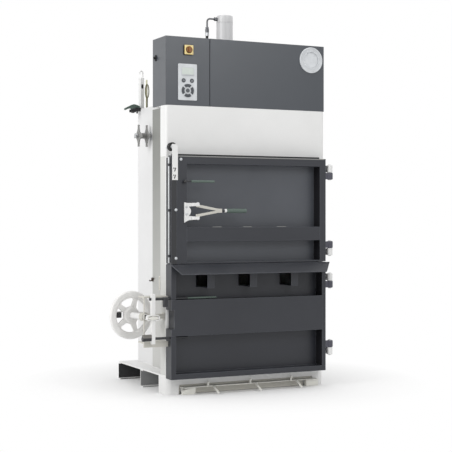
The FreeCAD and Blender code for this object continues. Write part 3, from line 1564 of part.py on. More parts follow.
def make_handwheel(head_y):
    """A five-spoked handwheel with a crank knob, and the spindle with its T-shaped head."""
    turn = lock_frame()
    base = (wheel_x, wheel_y, d.wheel_z)
    web = d.wheel_web / 2
    half = d.rim_thick / 2
    rim = d.wheel_radius - d.rim_width
    hub_front = d.hub_height
    hub_inner = d.hub_radius * 0.8
    # half of the section, from the bore out to the rim's rounded outer edge
    section = [(d.spindle_radius, hub_front), (hub_inner, hub_front), (d.hub_radius, web),
               (rim - 5, web), (rim, half - 3), (rim + 3, half)]
    for step in range(4):
        angle = math.radians(30 * step)
        section.append((d.wheel_radius - d.rim_round + d.rim_round * round(math.sin(angle), 6),
                        half - d.rim_round + d.rim_round * round(math.cos(angle), 6)))
    outline = ([(radius, -height) for radius, height in section]
               + list(reversed(section)))
    wheel = turned("handwheel", outline, base, turn)
    inner = d.hub_radius + 6
    outer = rim - 6
    spread = math.radians(29)
    # each opening is narrower at the hub and follows the rim outside
    hole = []
    course = [(inner, -0.62), *[(outer, step / 2) for step in range(-2, 3)], (inner, 0.62)]
    for radius, share in course:
        angle = math.radians(180) + spread * share
        hole.append((radius * round(math.cos(angle), 6), radius * round(math.sin(angle), 6)))
    cut = pocket(wheel, "XY", [hole], -half, half)
    pattern = wheel.newObject("PartDesign::PolarPattern", "spoke_pattern")
    pattern.Originals = [cut]
    pattern.Axis = (cut.Profile[0], ["N_Axis"])
    pattern.Angle = 360
    pattern.Occurrences = 5
    wheel.Tip = pattern
    doc.recompute()
    centre = Vector(*[size.value for size in base])

    def corner_of_opening(a, b):
        along = abs((b - a).normalize().z) > 0.99
        from_middle = (math.degrees(math.atan2(a.y, a.x)) + 72 - 36) % 72 - 36
        away = abs(abs(from_middle) - 36)
        between = d.hub_radius.value < math.hypot(a.x, a.y) < rim.value
        return along and between and away > 17

    fillet(wheel, d.rim_width / 4, corner_of_opening)
    keep("handwheel", wheel)

    reach = along_axis(wheel_y - head_y)
    shaft = rod("spindle_shaft", d.spindle_radius, place_along(-hub_front), reach + hub_front,
                turn)
    long_x, high_y = d.head_length / 2, d.head_height / 2
    lens = [(long_x, -high_y * 0.4), (long_x, high_y * 0.4), (long_x - high_y, high_y),
            (high_y - long_x, high_y), (-long_x, high_y * 0.4), (-long_x, -high_y * 0.4),
            (high_y - long_x, -high_y), (long_x - high_y, -high_y)]
    head = new_body("spindle_head")
    pad(head, "XY", [lens], reach - d.head_thick / 2, reach + d.head_thick / 2)
    place(head, base, turn)
    keep("spindle", joined("spindle_solid", [shaft, head]))

    # a plate behind the rim carries the knob's pin, seen through one opening
    plate = 5
    back = -half
    block = new_body("crank_mount")
    pad(block, "XY", [rectangle(-rim - d.rim_width / 2, -d.hub_radius - 6, d.knob_rise - 17,
                                d.knob_rise + 17)], back - plate, back)
    pad(block, "XY", [(-d.knob_x, d.knob_rise, 5)], back - plate - d.knob_length - 4,
        back - plate)
    place(block, base, turn)
    keep("crank_mount", block)
    tip = back - plate - 1 - d.knob_length
    knob = turned("crank_knob_outline", [
        (5 + d.running, 0),
        (7, 0),
        (10, 4),
        (12, d.knob_length * 0.45),
        (11, d.knob_length * 0.85),
        (8, d.knob_length),
        (5 + d.running, d.knob_length),
    ], (-d.knob_x, d.knob_rise, tip), Rotation())
    doc.recompute()
    start = turn.multVec(Vector(-d.knob_x.value, d.knob_rise.value, tip.value))
    for axis_name in "xyz":
        knob.setExpression(f"Placement.Base.{axis_name}", None)
    knob.Placement = Placement(centre + start, turn)
    keep("crank_knob", knob)


def place_along(distance):
    """A point on the handwheel's axis."""
    angle = math.radians(d.lock_tilt.value)
    step = as_size(distance)
    return (wheel_x + step * round(math.sin(angle), 9),
            wheel_y - step * round(math.cos(angle), 9), d.wheel_z)


# Left side -----------------------------------------------------------------------------------


def star(label, x):
    """A flange with four arms, hollow sides between them and flared tips."""
    tip, waist, half = d.star_radius.value, d.star_waist.value, d.star_arm.value
    neck, flare = tip - 9, d.star_flare.value
    edges = []
    for number in range(4):
        turn = Rotation(Vector(0, 0, 1), 90 * number)
        following = Rotation(Vector(0, 0, 1), 90 * (number + 1))
        corners = [turn.multVec(Vector(x, y, 0)) for x, y in (
            (neck, -half), (tip, -flare), (tip, flare), (neck, half))]
        third = following.multVec(Vector(neck, -half, 0))
        low = turn.multVec(Vector(waist * math.cos(math.pi / 4),
                                  waist * math.sin(math.pi / 4), 0))
        edges += [Part.makeLine(a, b) for a, b in zip(corners, corners[1:])]
        edges.append(Part.Arc(corners[-1], low, third).toShape())
    flange = Part.Face(Part.Wire(edges)).extrude(Vector(0, 0, d.star_plate.value))
    solid = doc.addObject("Part::Feature", label)
    solid.Shape = flange
    solid.Placement = Placement(Vector(x.value, reel_y.value, d.reel_z.value), TO_LEFT)
    return solid


def make_star_reel():
    wall = -wall_x
    near = d.column_width * 0.19
    far = d.column_width * 0.63
    axle = turned("reel_axle", [
        (0, 0),
        (24, 0),
        (24, 5),
        (d.axle_radius, 5),
        (d.axle_radius, far + 16),
        (d.axle_radius + 5, far + 16),
        (d.axle_radius + 5, far + 24),
        (0, far + 24),
    ], (wall, reel_y, d.reel_z), TO_LEFT)
    keep("reel_axle", axle)
    hub = rod("reel_hub", d.axle_radius + 7, (wall - near + 4, reel_y, d.reel_z),
              far - near + 10, TO_LEFT)
    flanges = [star("star_near", wall - near), star("star_far", wall - far)]
    solid = joined("reel_solid", [hub, *flanges])
    bore = rod("reel_bore", d.axle_radius + d.running, (wall, reel_y, d.reel_z), far + 30,
               TO_LEFT)
    keep("star_reel", less("star_reel_solid", solid, bore))


def make_rear_post():
    """The post on the left wall's rear corner, with its curled top, and the oval hanger."""
    x0 = -wall_x + 3
    x1 = x0 + d.post_width
    y0 = wall_rear - d.post_depth
    top = d.rear_post_top
    wall = d.side_wall / 2
    post = new_body("post_tube")
    loops = [rectangle(x0, x1, y0, wall_rear),
             rectangle(x0 + wall, x1 - wall, y0 + wall, wall_rear - wall)]
    pad(post, "XY", loops, d.side_wall_top, top)
    middle = (x0 + x1) / 2
    z = top - d.post_hole
    oval = [(middle + x, z + y) for x, y in ((-6, -8), (-3, -13), (3, -13), (6, -8),
                                             (6, 8), (3, 13), (-3, 13), (-6, 8))]
    pocket(post, "XZ", [oval], y0, y0 + wall)
    lid = box("post_lid", x0, x1, y0, wall_rear, top - wall, top)
    # a curled strip stands on the lid's right edge
    deep = 12
    y = y0 + 11
    stand = box("hook_stand", x1 - d.curl_wall, x1, y, y + deep, top, top + d.curl_rise)
    drop = box("hook_drop", x1 - d.curl_radius * 2, x1 - d.curl_radius * 2 + d.curl_wall, y,
               y + deep, top + d.curl_rise - 10, top + d.curl_rise)
    ring = Part.makeCylinder(d.curl_radius.value, deep, Vector(), Vector(0, 1, 0))
    ring = ring.cut(Part.makeCylinder((d.curl_radius - d.curl_wall).value, deep, Vector(),
                                      Vector(0, 1, 0)))
    reach = d.curl_radius.value
    ring = ring.common(Part.makeBox(reach * 2, deep, reach, Vector(-reach, 0, 0)))
    curl = doc.addObject("Part::Feature", "post_hook")
    curl.Shape = ring
    place(curl, (x1 - d.curl_radius, y, top + d.curl_rise))
    keep("rear_post", joined("rear_post_solid", [post, lid, stand, drop, curl]))

    # the hanger is an upright oval ring on a stem, with a flat band behind it
    x = x1 + 31
    y = chamber_rear - 24
    low = d.side_wall_top
    rings = []
    for shrink in (0, d.hanger_wall):
        tall = (d.hanger_height / 2 - shrink).value
        wide = (d.hanger_width / 2 - shrink).value
        curve = Part.Ellipse(Vector(0, 0, tall), Vector(-wide, 0, 0), Vector())
        rings.append(Part.Face(Part.Wire([curve.toShape()])).extrude(Vector(0, 8, 0)))
    rise = d.hanger_rise.value
    stem = Part.makeBox(6, 8, rise - d.hanger_height.value / 2 + 3, Vector(-3, 0, -rise))
    loop = doc.addObject("Part::Feature", "oval_loop")
    loop.Shape = rings[0].cut(rings[1]).fuse(stem).removeSplitter()
    place(loop, (x, y, low + d.hanger_rise))
    band = box("hanger_band", x - 1, x + 7, y + 12, y + 15, low, low + d.hanger_rise + 90)
    keep("cable_hanger", group("cable_hanger_set", [loop, band]))


def make_release_lever():
    """A black block on the left wall with a green lever between its ears that tips up."""
    wall = -wall_x
    y = cutter_y
    low = d.cutter_bottom
    top = low + d.cutter_block
    pivot_x = wall - d.cutter_reach + 23
    pivot_z = top + d.cutter_lift
    base = box("release_base", wall - d.cutter_reach, wall, y - 15, y + 15, low, top)
    ears = [box(f"release_ear_{k + 1}", pivot_x - 12, pivot_x + 12, y - 12 + 18 * k,
                y - 6 + 18 * k, top, pivot_z + 7) for k in range(2)]
    pin = rod("release_pin", 4, (pivot_x, y - 12, pivot_z), 24, TO_BACK)
    keep("release_bracket", joined("release_bracket_solid", [base, *ears, pin]))
    lever = new_body("release_blade")
    blade = ((8, -7), (8, 7), (-18, 12), (-50, 24), (-54, 20), (-30, 4), (-14, -7))
    outline = [(pivot_x + a, pivot_z + b) for a, b in blade]
    low_y = y - 6 + d.fit
    high_y = y + 6 - d.fit
    pad(lever, "XZ", [outline], low_y, high_y)
    pocket(lever, "XZ", [(pivot_x, pivot_z, 4 + d.running)], low_y, high_y)
    keep("release_lever", lever)


make_base()
make_base_front()
make_columns()
make_walls()
make_floor()
make_upper_panel()
make_hood()
make_mains_inlet()
make_main_switch()
make_control_panel()
make_badge()
hose_start = make_cylinder()
make_ram()
flange_edge = make_crosshead()
make_power_unit(flange_edge, *hose_start)
make_hinges()
make_upper_door()
make_upper_latch()
make_fork_handle()
make_door_roller()
make_lower_door()
spindle_head_y = make_crossbar()
make_lock_bracket()
make_handwheel(spindle_head_y)
make_star_reel()
make_rear_post()
make_release_lever()

# every piece is sound before any is written --------------------------------------------------

doc.recompute()
for item in doc.Objects:
    if {"Invalid", "Error"} & set(item.State):
        raise RuntimeError(f"{item.Name} is in state {item.State}")
for piece in subparts:
    if piece.Shape.isNull() or not piece.Shape.isValid():
        raise RuntimeError(piece.Label + " has no sound shape")

os.makedirs("parts", exist_ok=True)
for piece in subparts:
    piece.Shape.exportStep(f"parts/{piece.Label}.step")
print(len(subparts), "sub-parts written")
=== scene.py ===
import json
import math

import bmesh
import bpy
from mathutils import Matrix, Vector

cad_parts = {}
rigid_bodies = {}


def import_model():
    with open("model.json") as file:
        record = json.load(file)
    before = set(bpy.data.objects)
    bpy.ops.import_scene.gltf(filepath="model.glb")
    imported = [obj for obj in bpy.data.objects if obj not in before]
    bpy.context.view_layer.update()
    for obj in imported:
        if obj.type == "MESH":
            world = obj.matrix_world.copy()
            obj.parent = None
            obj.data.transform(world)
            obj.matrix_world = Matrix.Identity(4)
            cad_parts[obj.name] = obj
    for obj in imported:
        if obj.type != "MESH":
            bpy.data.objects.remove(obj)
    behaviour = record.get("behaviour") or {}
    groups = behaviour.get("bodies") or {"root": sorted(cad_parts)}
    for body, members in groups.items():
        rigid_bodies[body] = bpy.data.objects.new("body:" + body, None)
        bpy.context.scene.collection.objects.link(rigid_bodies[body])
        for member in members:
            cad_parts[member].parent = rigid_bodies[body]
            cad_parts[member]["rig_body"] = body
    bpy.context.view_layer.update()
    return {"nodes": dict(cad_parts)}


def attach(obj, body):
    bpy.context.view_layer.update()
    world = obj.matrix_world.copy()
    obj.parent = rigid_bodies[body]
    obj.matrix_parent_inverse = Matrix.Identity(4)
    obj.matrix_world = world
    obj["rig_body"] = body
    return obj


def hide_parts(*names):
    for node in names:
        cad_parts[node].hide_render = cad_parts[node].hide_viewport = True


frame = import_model()
scene = bpy.context.scene
scene.view_settings.view_transform = "Standard"

# Camera ---------------------------------------------------------------------------------------

# where the photograph's camera stands, in metres, and where it looks, to the right and ahead
CAMERA_PLACE = (-2.878, -6.095, 0.9475)
CAMERA_AIM = (0.4321, 0.9018)
# in the photograph's pixels
PHOTO_SIDE = 452
FOCAL_LENGTH = 1169
HORIZON_SHIFT = -9
# in millimetres
SENSOR_WIDTH = 36


def make_camera():
    """The scene's camera, placed where the photograph's stood."""
    data = bpy.data.cameras.new("camera")
    camera = bpy.data.objects.new("camera", data)
    scene.collection.objects.link(camera)
    camera.location = CAMERA_PLACE
    camera.rotation_euler = (math.radians(90), 0, -math.atan2(*CAMERA_AIM))
    data.sensor_width = SENSOR_WIDTH
    data.lens = SENSOR_WIDTH * FOCAL_LENGTH / PHOTO_SIDE
    data.shift_y = HORIZON_SHIFT / PHOTO_SIDE
    scene.camera = camera


make_camera()

# Materials ------------------------------------------------------------------------------------


class Shader:
    """A procedural material being wired up."""

    def __init__(self, name):
        self.material = bpy.data.materials.new(name)
        self.material.use_nodes = True
        self.tree = self.material.node_tree
        self.bsdf = self.tree.nodes["Principled BSDF"]
        place = self.tree.nodes.new("ShaderNodeTexCoord")
        self.place = place.outputs["Object"]

    def node(self, kind, **settings):
        made = self.tree.nodes.new(kind)
        for key, value in settings.items():
            if key in made.inputs:
                made.inputs[key].default_value = value
            else:
                setattr(made, key, value)
        return made

    def link(self, output, target):
        self.tree.links.new(output, target)

    def noise(self, scale, detail, stretch=None):
        """Noise through the piece; stretch sets its scale along each axis."""
        source = self.place
        if stretch:
            mapping = self.node("ShaderNodeMapping", Scale=stretch)
            self.link(source, mapping.inputs["Vector"])
            source = mapping.outputs["Vector"]
        made = self.node("ShaderNodeTexNoise", Scale=scale, Detail=detail, Roughness=0.55)
        self.link(source, made.inputs["Vector"])
        return made.outputs["Fac"]

    def ramp(self, source, low, high, out_low=0, out_high=1):
        """A value brought from one range to another."""
        made = self.node("ShaderNodeMapRange", **{"From Min": low, "From Max": high,
                                                  "To Min": out_low, "To Max": out_high})
        self.link(source, made.inputs["Value"])
        return made.outputs["Result"]

    def mix(self, factor, first, second):
        """Two colours mixed; each is a linear colour or another node's output."""
        made = self.node("ShaderNodeMix", data_type="RGBA")
        self.link(factor, made.inputs[0])
        for value, socket in ((first, made.inputs[6]), (second, made.inputs[7])):
            if isinstance(value, tuple):
                socket.default_value = (*value, 1)
            else:
                self.link(value, socket)
        return made.outputs[2]

    def join(self, operation, first, second):
        """Two values through a maths node."""
        made = self.node("ShaderNodeMath", operation=operation)
        self.link(first, made.inputs[0])
        self.link(second, made.inputs[1])
        return made.outputs[0]

    def clouds(self, source, colour, darker, lighter, low=0.35, high=0.65):
        """A colour that wanders between two shades of itself."""
        return self.mix(self.ramp(source, low, high), scaled(colour, darker),
                        scaled(colour, lighter))

    def colour(self, source):
        self.link(source, self.bsdf.inputs["Base Color"])

    def roughness(self, source, low, high):
        self.link(self.ramp(source, 0.3, 0.7, low, high), self.bsdf.inputs["Roughness"])

    def bump(self, source, strength, distance):
        made = self.node("ShaderNodeBump", Strength=strength, Distance=distance)
        self.link(source, made.inputs["Height"])
        self.link(made.outputs["Normal"], self.bsdf.inputs["Normal"])

    def clear_coat(self, weight, rough):
        self.bsdf.inputs["Coat Weight"].default_value = weight
        self.bsdf.inputs["Coat Roughness"].default_value = rough


def srgb(values):
    """Linear colour of an 8-bit one."""
    shares = (value / 255 for value in values)
    return tuple(share / 12.92 if share <= 0.04045 else ((share + 0.055) / 1.055) ** 2.4
                 for share in shares)


def scaled(colour, factor):
    return tuple(min(1, part * factor) for part in colour)


# the finishes take 8-bit colours; noise scales are in ripples a metre


def coating(name, colour, rough, edge, grime=0.05, coat=0.0, gloss=0.45, painted_light_foot=None):
    """Powder coat: faint cloudy tone, orange peel, thinner and lighter along the edges, as wear
    and as a painted highlight.

    A second colour, if given, fades in towards the floor: painted light, lighter low down and
    darker higher up."""
    made = Shader(name)
    colour = srgb(colour)
    tone = made.clouds(made.noise(2.3, 5), colour, 1 - grime, 1 + grime / 2)
    # painted light: a lighter colour fades in towards the floor
    if painted_light_foot:
        apart = made.node("ShaderNodeSeparateXYZ")
        made.link(made.place, apart.inputs[0])
        tone = made.mix(made.ramp(apart.outputs["Z"], 0.1, 1.3), srgb(painted_light_foot), tone)
    speck = made.ramp(made.noise(240, 2), 0.62, 0.74, 0, 0.3)
    tone = made.mix(speck, tone, scaled(colour, 0.86))
    # bevelled faces turn lighter, in patches: wear and painted highlight
    highlit_and_worn = made.node("ShaderNodeAttribute", attribute_name="edge").outputs["Fac"]
    patch = made.ramp(made.noise(46, 5), 0.3, 0.6, 0.35, 1)
    made.colour(made.mix(made.join("MULTIPLY", highlit_and_worn, patch), tone, srgb(edge)))
    made.roughness(made.noise(17, 6), rough - 0.03, rough + 0.04)
    made.bump(made.noise(420, 3), 0.05, 0.0004)
    made.bsdf.inputs["Specular IOR Level"].default_value = gloss
    made.clear_coat(coat, 0.35)
    return made.material


def metal(name, colour, rough, tarnish=0.12):
    """Bare or plated steel with a drawn grain and cloudy plating."""
    made = Shader(name)
    colour = srgb(colour)
    grain = (1, 1, 14)
    made.bsdf.inputs["Metallic"].default_value = 1
    tone = made.clouds(made.noise(38, 6), colour, 1 - tarnish, 1, 0.3, 0.7)
    line = made.ramp(made.noise(300, 3, grain), 0.4, 0.75, 0, 0.5)
    made.colour(made.mix(line, tone, scaled(colour, 0.8)))
    made.roughness(made.noise(90, 5, grain), rough - 0.08, rough + 0.1)
    made.bump(made.noise(300, 3, grain), 0.12, 0.0003)
    return made.material


def plastic(name, colour, rough, texture=900, depth=0.1):
    """Moulded plastic or rubber with a fine spark-eroded grain."""
    made = Shader(name)
    made.colour(made.clouds(made.noise(21, 4), srgb(colour), 0.93, 1.07))
    made.roughness(made.noise(60, 4), rough - 0.06, rough + 0.08)
    made.bump(made.noise(texture, 2), depth, 0.0003)
    return made.material


def cast(name, colour, rough):
    """Painted casting: a coarse sandy skin under the paint."""
    made = Shader(name)
    colour = srgb(colour)
    tone = made.clouds(made.noise(12, 5), colour, 0.93, 1.03)
    pit = made.ramp(made.noise(520, 3), 0.64, 0.76, 0, 0.35)
    made.colour(made.mix(pit, tone, scaled(colour, 0.75)))
    made.roughness(made.noise(70, 5), rough - 0.08, rough + 0.1)
    made.bump(made.noise(330, 4), 0.3, 0.0006)
    return made.material


def streaked(name, colour, rough):
    """Painted tube with faint streaks along its height and a soft gloss."""
    made = Shader(name)
    made.colour(made.clouds(made.noise(30, 5, (1, 1, 0.05)), srgb(colour), 0.8, 1.04))
    made.roughness(made.noise(50, 5, (1, 1, 0.1)), rough - 0.06, rough + 0.1)
    made.bump(made.noise(260, 3, (1, 1, 0.2)), 0.08, 0.0003)
    return made.material


def glass_like(name, colour, rough):
    """A tinted window over a display, with faint dust."""
    made = Shader(name)
    colour = srgb(colour)
    dust = made.ramp(made.noise(160, 5), 0.5, 0.8, 0, 0.35)
    made.colour(made.mix(dust, colour, scaled(colour, 1.3)))
    made.roughness(made.noise(90, 4), rough, rough + 0.1)
    made.clear_coat(0.4, 0.08)
    return made.material


# each coat's last colour is its lighter edge: wear and painted highlight
WHITE = coating("white_coat", (228, 228, 227), 0.42, (242, 242, 241))
WALL = coating("wall_coat", (224, 224, 224), 0.45, (238, 238, 238))
# painted shade: grey for the side post in the shade behind the column, lighter towards the floor
SIDE_POST_PAINTED_SHADE = coating("post_coat", (130, 131, 127), 0.45, (190, 190, 187), painted_light_foot=(196, 196, 193))
# painted shade: mid-grey coat on the base's middle beam front faces and for the door's shadow on
# the column
GREY_PAINTED_SHADE = coating("grey_painted_shade", (138, 139, 140), 0.6, (150, 150, 152))
# painted shade: dark coat on the front faces of the base's rear beam
REAR_BEAM_PAINTED_SHADE = coating("rear_beam_painted_shade", (44, 45, 47), 0.6, (80, 80, 82))
DARK = coating("dark_coat", (45, 47, 53), 0.38, (88, 91, 98), grime=0.1)
# painted light: a lighter copy of the dark door paint, for the upper door's sunk sheet and right
# stile
DOOR_SHEET_PAINTED_LIGHT = coating("door_sheet_painted_light", (79, 82, 88), 0.36, (96, 99, 106), grime=0.1)
# painted shade: a near-black, dull coat on the left-facing inner sides of the doors' right stiles
STILE_SIDE_PAINTED_SHADE = coating("stile_side_painted_shade", (36, 36, 39), 0.7, (52, 53, 56), grime=0.1, gloss=0.05)
BLACKCOAT = coating("black_coat", (40, 41, 44), 0.42, (84, 85, 90), grime=0.1)
KNUCKLE = coating("knuckle_coat", (74, 74, 84), 0.4, (104, 104, 112), grime=0.1)
HOOD = coating("hood_coat", (55, 60, 67), 0.36, (100, 104, 110), grime=0.06, coat=0.5)
BEIGE = coating("beige_coat", (196, 194, 186), 0.45, (222, 220, 212))
# painted shade: a slightly darker white on the left column's left side
COLUMN_SIDE_PAINTED_SHADE = coating("column_side_painted_shade", (204, 204, 201), 0.45, (232, 232, 230))
RAIL = coating("rail_coat", (226, 225, 218), 0.45, (238, 237, 232))
OLIVE = coating("olive_coat", (112, 110, 84), 0.5, (150, 150, 116))
BAND = coating("band_coat", (232, 230, 200), 0.5, (240, 238, 214))
CASTING = cast("grey_casting", (233, 232, 230), 0.5)
STAR = cast("star_casting", (132, 132, 130), 0.45)
BARREL = streaked("barrel_coat", (206, 206, 207), 0.3)
MOTOR = cast("motor_casting", (96, 104, 112), 0.5)
FITTING = metal("dark_fitting", (92, 93, 96), 0.32)
FRAME_GREY = plastic("frame_grey", (196, 199, 202), 0.45)
ZINC = metal("zinc_plate", (196, 198, 200), 0.34)
CHROME = metal("polished_rod", (214, 215, 218), 0.1, tarnish=0.03)
GREEN = plastic("green_plastic", (84, 99, 92), 0.5)
BLACK = plastic("black_plastic", (36, 36, 38), 0.45)
RUBBER = plastic("black_rubber", (24, 24, 25), 0.7, 500, 0.25)
PANEL = plastic("panel_plastic", (206, 209, 212), 0.55)
KEYS = plastic("key_plastic", (60, 64, 70), 0.45)
MARK = plastic("mark_plastic", (205, 208, 212), 0.5)
SCREEN = glass_like("screen", (196, 204, 198), 0.2)
YELLOW = plastic("yellow_plastic", (238, 214, 142), 0.4)
KNOB = plastic("knob_plastic", (122, 76, 22), 0.4)
BROWN = plastic("switch_base", (52, 38, 26), 0.45)
SLEEVE = plastic("grey_sleeve", (112, 110, 106), 0.5)
PALE = plastic("pale_plastic", (208, 206, 200), 0.45)

# Mesh helpers ---------------------------------------------------------------------------------

MM = 0.001
UP = Vector((0, 0, 1))
AHEAD = Vector((0, -1, 0))
BACK = Vector((0, 1, 0))
RIGHT = Vector((1, 0, 0))
LEFT = Vector((-1, 0, 0))

SHARP_ANGLE = math.radians(40)
BEVEL_ANGLE = math.radians(28)
FLAT_ANGLE = math.radians(0.7)
MERGE_DISTANCE = 2e-5


def finished(name, form, finish, body):
    """An object from a mesh under way, with clean shading; it rides on a body."""
    mesh = bpy.data.meshes.new(name)
    form.to_mesh(mesh)
    form.free()
    mesh.polygons.foreach_set("use_smooth", [True] * len(mesh.polygons))
    mesh.set_sharp_from_angle(angle=SHARP_ANGLE)
    mesh.materials.append(finish)
    piece = bpy.data.objects.new(name, mesh)
    scene.collection.objects.link(piece)
    evener = piece.modifiers.new("even_shading", "WEIGHTED_NORMAL")
    evener.keep_sharp = True
    evener.weight = 90
    seen = piece.evaluated_get(bpy.context.evaluated_depsgraph_get())
    piece.data = bpy.data.meshes.new_from_object(seen)
    piece.data.name = name
    piece.modifiers.clear()
    bpy.data.meshes.remove(mesh)
    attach(piece, body)
    return piece


def bevelled(form, edges, width, segments=2):
    """Breaks edges by a width in millimetres, and marks the new faces for the lighter edge colour:
    wear and painted highlight.
    """
    made = bmesh.ops.bevel(form, geom=edges, offset=width * MM, segments=segments, profile=0.5,
                           affect="EDGES", offset_type="OFFSET")
    edge = form.faces.layers.float["edge"]
    for face in made["faces"]:
        face[edge] = 1


def dress(node, finish, width, dissolve=True):
    """A CAD node's own shape with its hard edges broken, which then stands for the node."""
    form = bmesh.new()
    form.from_mesh(frame["nodes"][node].data)
    bmesh.ops.remove_doubles(form, verts=form.verts, dist=MERGE_DISTANCE)
    if dissolve:
        bmesh.ops.dissolve_limit(form, angle_limit=FLAT_ANGLE, verts=form.verts,
                                 edges=form.edges)
    form.faces.layers.float.new("edge")
    bevelled(form, [edge for edge in form.edges if len(edge.link_faces) == 2
                    and edge.calc_face_angle(0) > BEVEL_ANGLE], width)
    piece = finished(node + "_coat", form, finish, frame["nodes"][node]["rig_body"])
    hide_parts(node)
    return piece


def oval(steps, wide, high, start=0.0):
    """Points around an oval, as pairs."""
    angles = [start + 2 * math.pi * step / steps for step in range(steps)]
    return [(wide * math.cos(angle), high * math.sin(angle)) for angle in angles]


class Form:
    """A piece made of several shapes; sizes and places are in millimetres."""

    def __init__(self):
        self.mesh = bmesh.new()
        self.edge = self.mesh.faces.layers.float.new("edge")

    def turned(self, axis):
        """The two sideways axes of a shape that stands along an axis."""
        side = UP.cross(axis)
        side = side.normalized() if side.length > 1e-6 else RIGHT.copy()
        return side, axis.cross(side)

    def ring(self, middle, across, radius, steps, phase=0.0):
        """Corners around a middle, on two sideways axes."""
        side, other = across
        return [self.mesh.verts.new((middle + side * a + other * b) * MM)
                for a, b in oval(steps, radius, radius, phase)]

    def skin(self, first, second, edge=0.0):
        """Faces between two rings of corners; edge is 1 where the coat shows wear and a painted
        highlight.
        """
        count = len(first)
        for number in range(count):
            after = (number + 1) % count
            face = self.mesh.faces.new((first[number], first[after], second[after],
                                        second[number]))
            face[self.edge] = edge

    def lathe(self, outline, base, axis, steps, phase=0.0, highlit_and_worn=()):
        """Turned shape: pairs of radius and height; a radius of 0 closes an end."""
        base, axis = Vector(base), Vector(axis).normalized()
        rows = []
        for radius, height in outline:
            middle = base + axis * height
            rows.append(self.ring(middle, self.turned(axis), radius, steps, phase) if radius
                        else [self.mesh.verts.new(middle * MM)])
        for number, (first, second) in enumerate(zip(rows, rows[1:])):
            edge = 1.0 if number in highlit_and_worn else 0.0
            if len(first) > 1 and len(second) > 1:
                self.skin(first, second, edge)
                continue
            closing = len(first) > 1
            tip, ring = (second[0], first) if closing else (first[0], second)
            for step, here in enumerate(ring):
                after = ring[(step + 1) % steps]
                face = self.mesh.faces.new((tip, here, after) if closing else (tip, after, here))
                face[self.edge] = edge

    def block(self, low, high, bevel, turn=Matrix.Identity(3), segments=2):
        """A box with broken edges; it may be turned about its middle."""
        low, high = Vector(low), Vector(high)
        middle, half = (low + high) / 2, (high - low) / 2
        corners = [self.mesh.verts.new((middle + turn @ Vector((half.x * a, half.y * b,
                                                                 half.z * c))) * MM)
                   for a in (-1, 1) for b in (-1, 1) for c in (-1, 1)]
        sides = ((0, 1, 3, 2), (4, 6, 7, 5), (0, 4, 5, 1), (2, 3, 7, 6), (0, 2, 6, 4),
                 (1, 5, 7, 3))
        faces = [self.mesh.faces.new([corners[i] for i in side]) for side in sides]
        edges = dict.fromkeys(edge for face in faces for edge in face.edges)
        bevelled(self.mesh, list(edges), bevel, segments)

    def plate(self, outline, low, high, bevel, axes=(RIGHT, UP), base=(0, 0, 0)):
        """A flat plate: an outline of (a, b) pairs, on two axes, between two heights.

        Seen from the front, on its usual axes, the heights run towards the viewer."""
        first, second = axes
        normal = first.cross(second)
        base = Vector(base)
        rows = [[self.mesh.verts.new((base + first * a + second * b + normal * height) * MM)
                 for a, b in outline] for height in (low, high)]
        faces = [self.mesh.faces.new(rows[0][::-1]), self.mesh.faces.new(rows[1])]
        self.skin(*rows)
        if bevel:
            bevelled(self.mesh, [edge for face in faces for edge in face.edges], bevel)

    def tube(self, points, radius, steps, closed=False):
        """A bent bar along points; radius may be a list, one for each point."""
        points = [Vector(point) for point in points]
        count = len(points)
        radii = radius if isinstance(radius, list) else [radius] * count
        rows = []
        side = None
        for number, point in enumerate(points):
            before = points[number - 1] if number or closed else point
            after = points[(number + 1) % count] if number < count - 1 or closed else point
            axis = (after - before).normalized()
            if side is None:
                side, other = self.turned(axis)
            else:
                side = (side - axis * side.dot(axis)).normalized()
                other = axis.cross(side)
            rows.append(self.ring(point, (side, other), radii[number], steps))
        for first, second in zip(rows, rows[1:]):
            self.skin(first, second)
        if closed:
            self.skin(rows[-1], rows[0])
        else:
            self.mesh.faces.new(rows[0][::-1])
            self.mesh.faces.new(rows[-1])

    def bead(self, start, end, size, pitch=7.0):
        """A weld bead with its ripples, from one point to another."""
        start, end = Vector(start), Vector(end)
        count = max(4, int((end - start).length / pitch) * 2)
        points = [start.lerp(end, number / count) for number in range(count + 1)]
        radii = [size * (0.55 if number in (0, count) else (1.0 if number % 2 else 0.8))
                 for number in range(count + 1)]
        self.tube(points, radii, 7)

    def bolt(self, place, axis, size, washer=True):
        """A hexagon bolt head on its washer; size is the thread's diameter."""
        across = size * 0.9
        high = size * 0.62
        start = 0.0
        if washer:
            start = size * 0.18
            self.lathe([(0, 0), (size * 1.05, 0), (size * 1.08, start * 0.5),
                        (size * 1.05, start), (0, start)], place, axis, 20)
        self.lathe([(0, start), (across, start), (across, start + high * 0.8),
                    (across * 0.84, start + high), (0, start + high)], place, axis, 6,
                   highlit_and_worn=(2,))

    def screw(self, place, axis, radius):
        """A round-headed screw with a hexagon socket."""
        self.lathe([(radius, 0), (radius, radius * 0.25), (radius * 0.78, radius * 0.55),
                    (radius * 0.5, radius * 0.62), (radius * 0.46, radius * 0.2),
                    (0, radius * 0.2)], place, axis, 18)

    def disc(self, radius, high, place, axis, steps):
        """A plain disc or a short rod."""
        self.lathe([(0, 0), (radius, 0), (radius, high), (0, high)], place, axis, steps)

    def done(self, name, finish, body, node=None):
        """The piece, which stands for a node of the part if one is named."""
        bmesh.ops.recalc_face_normals(self.mesh, faces=self.mesh.faces)
        piece = finished(name, self.mesh, finish, body)
        if node:
            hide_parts(node)
        return piece


# Hydraulic hose -------------------------------------------------------------------------------


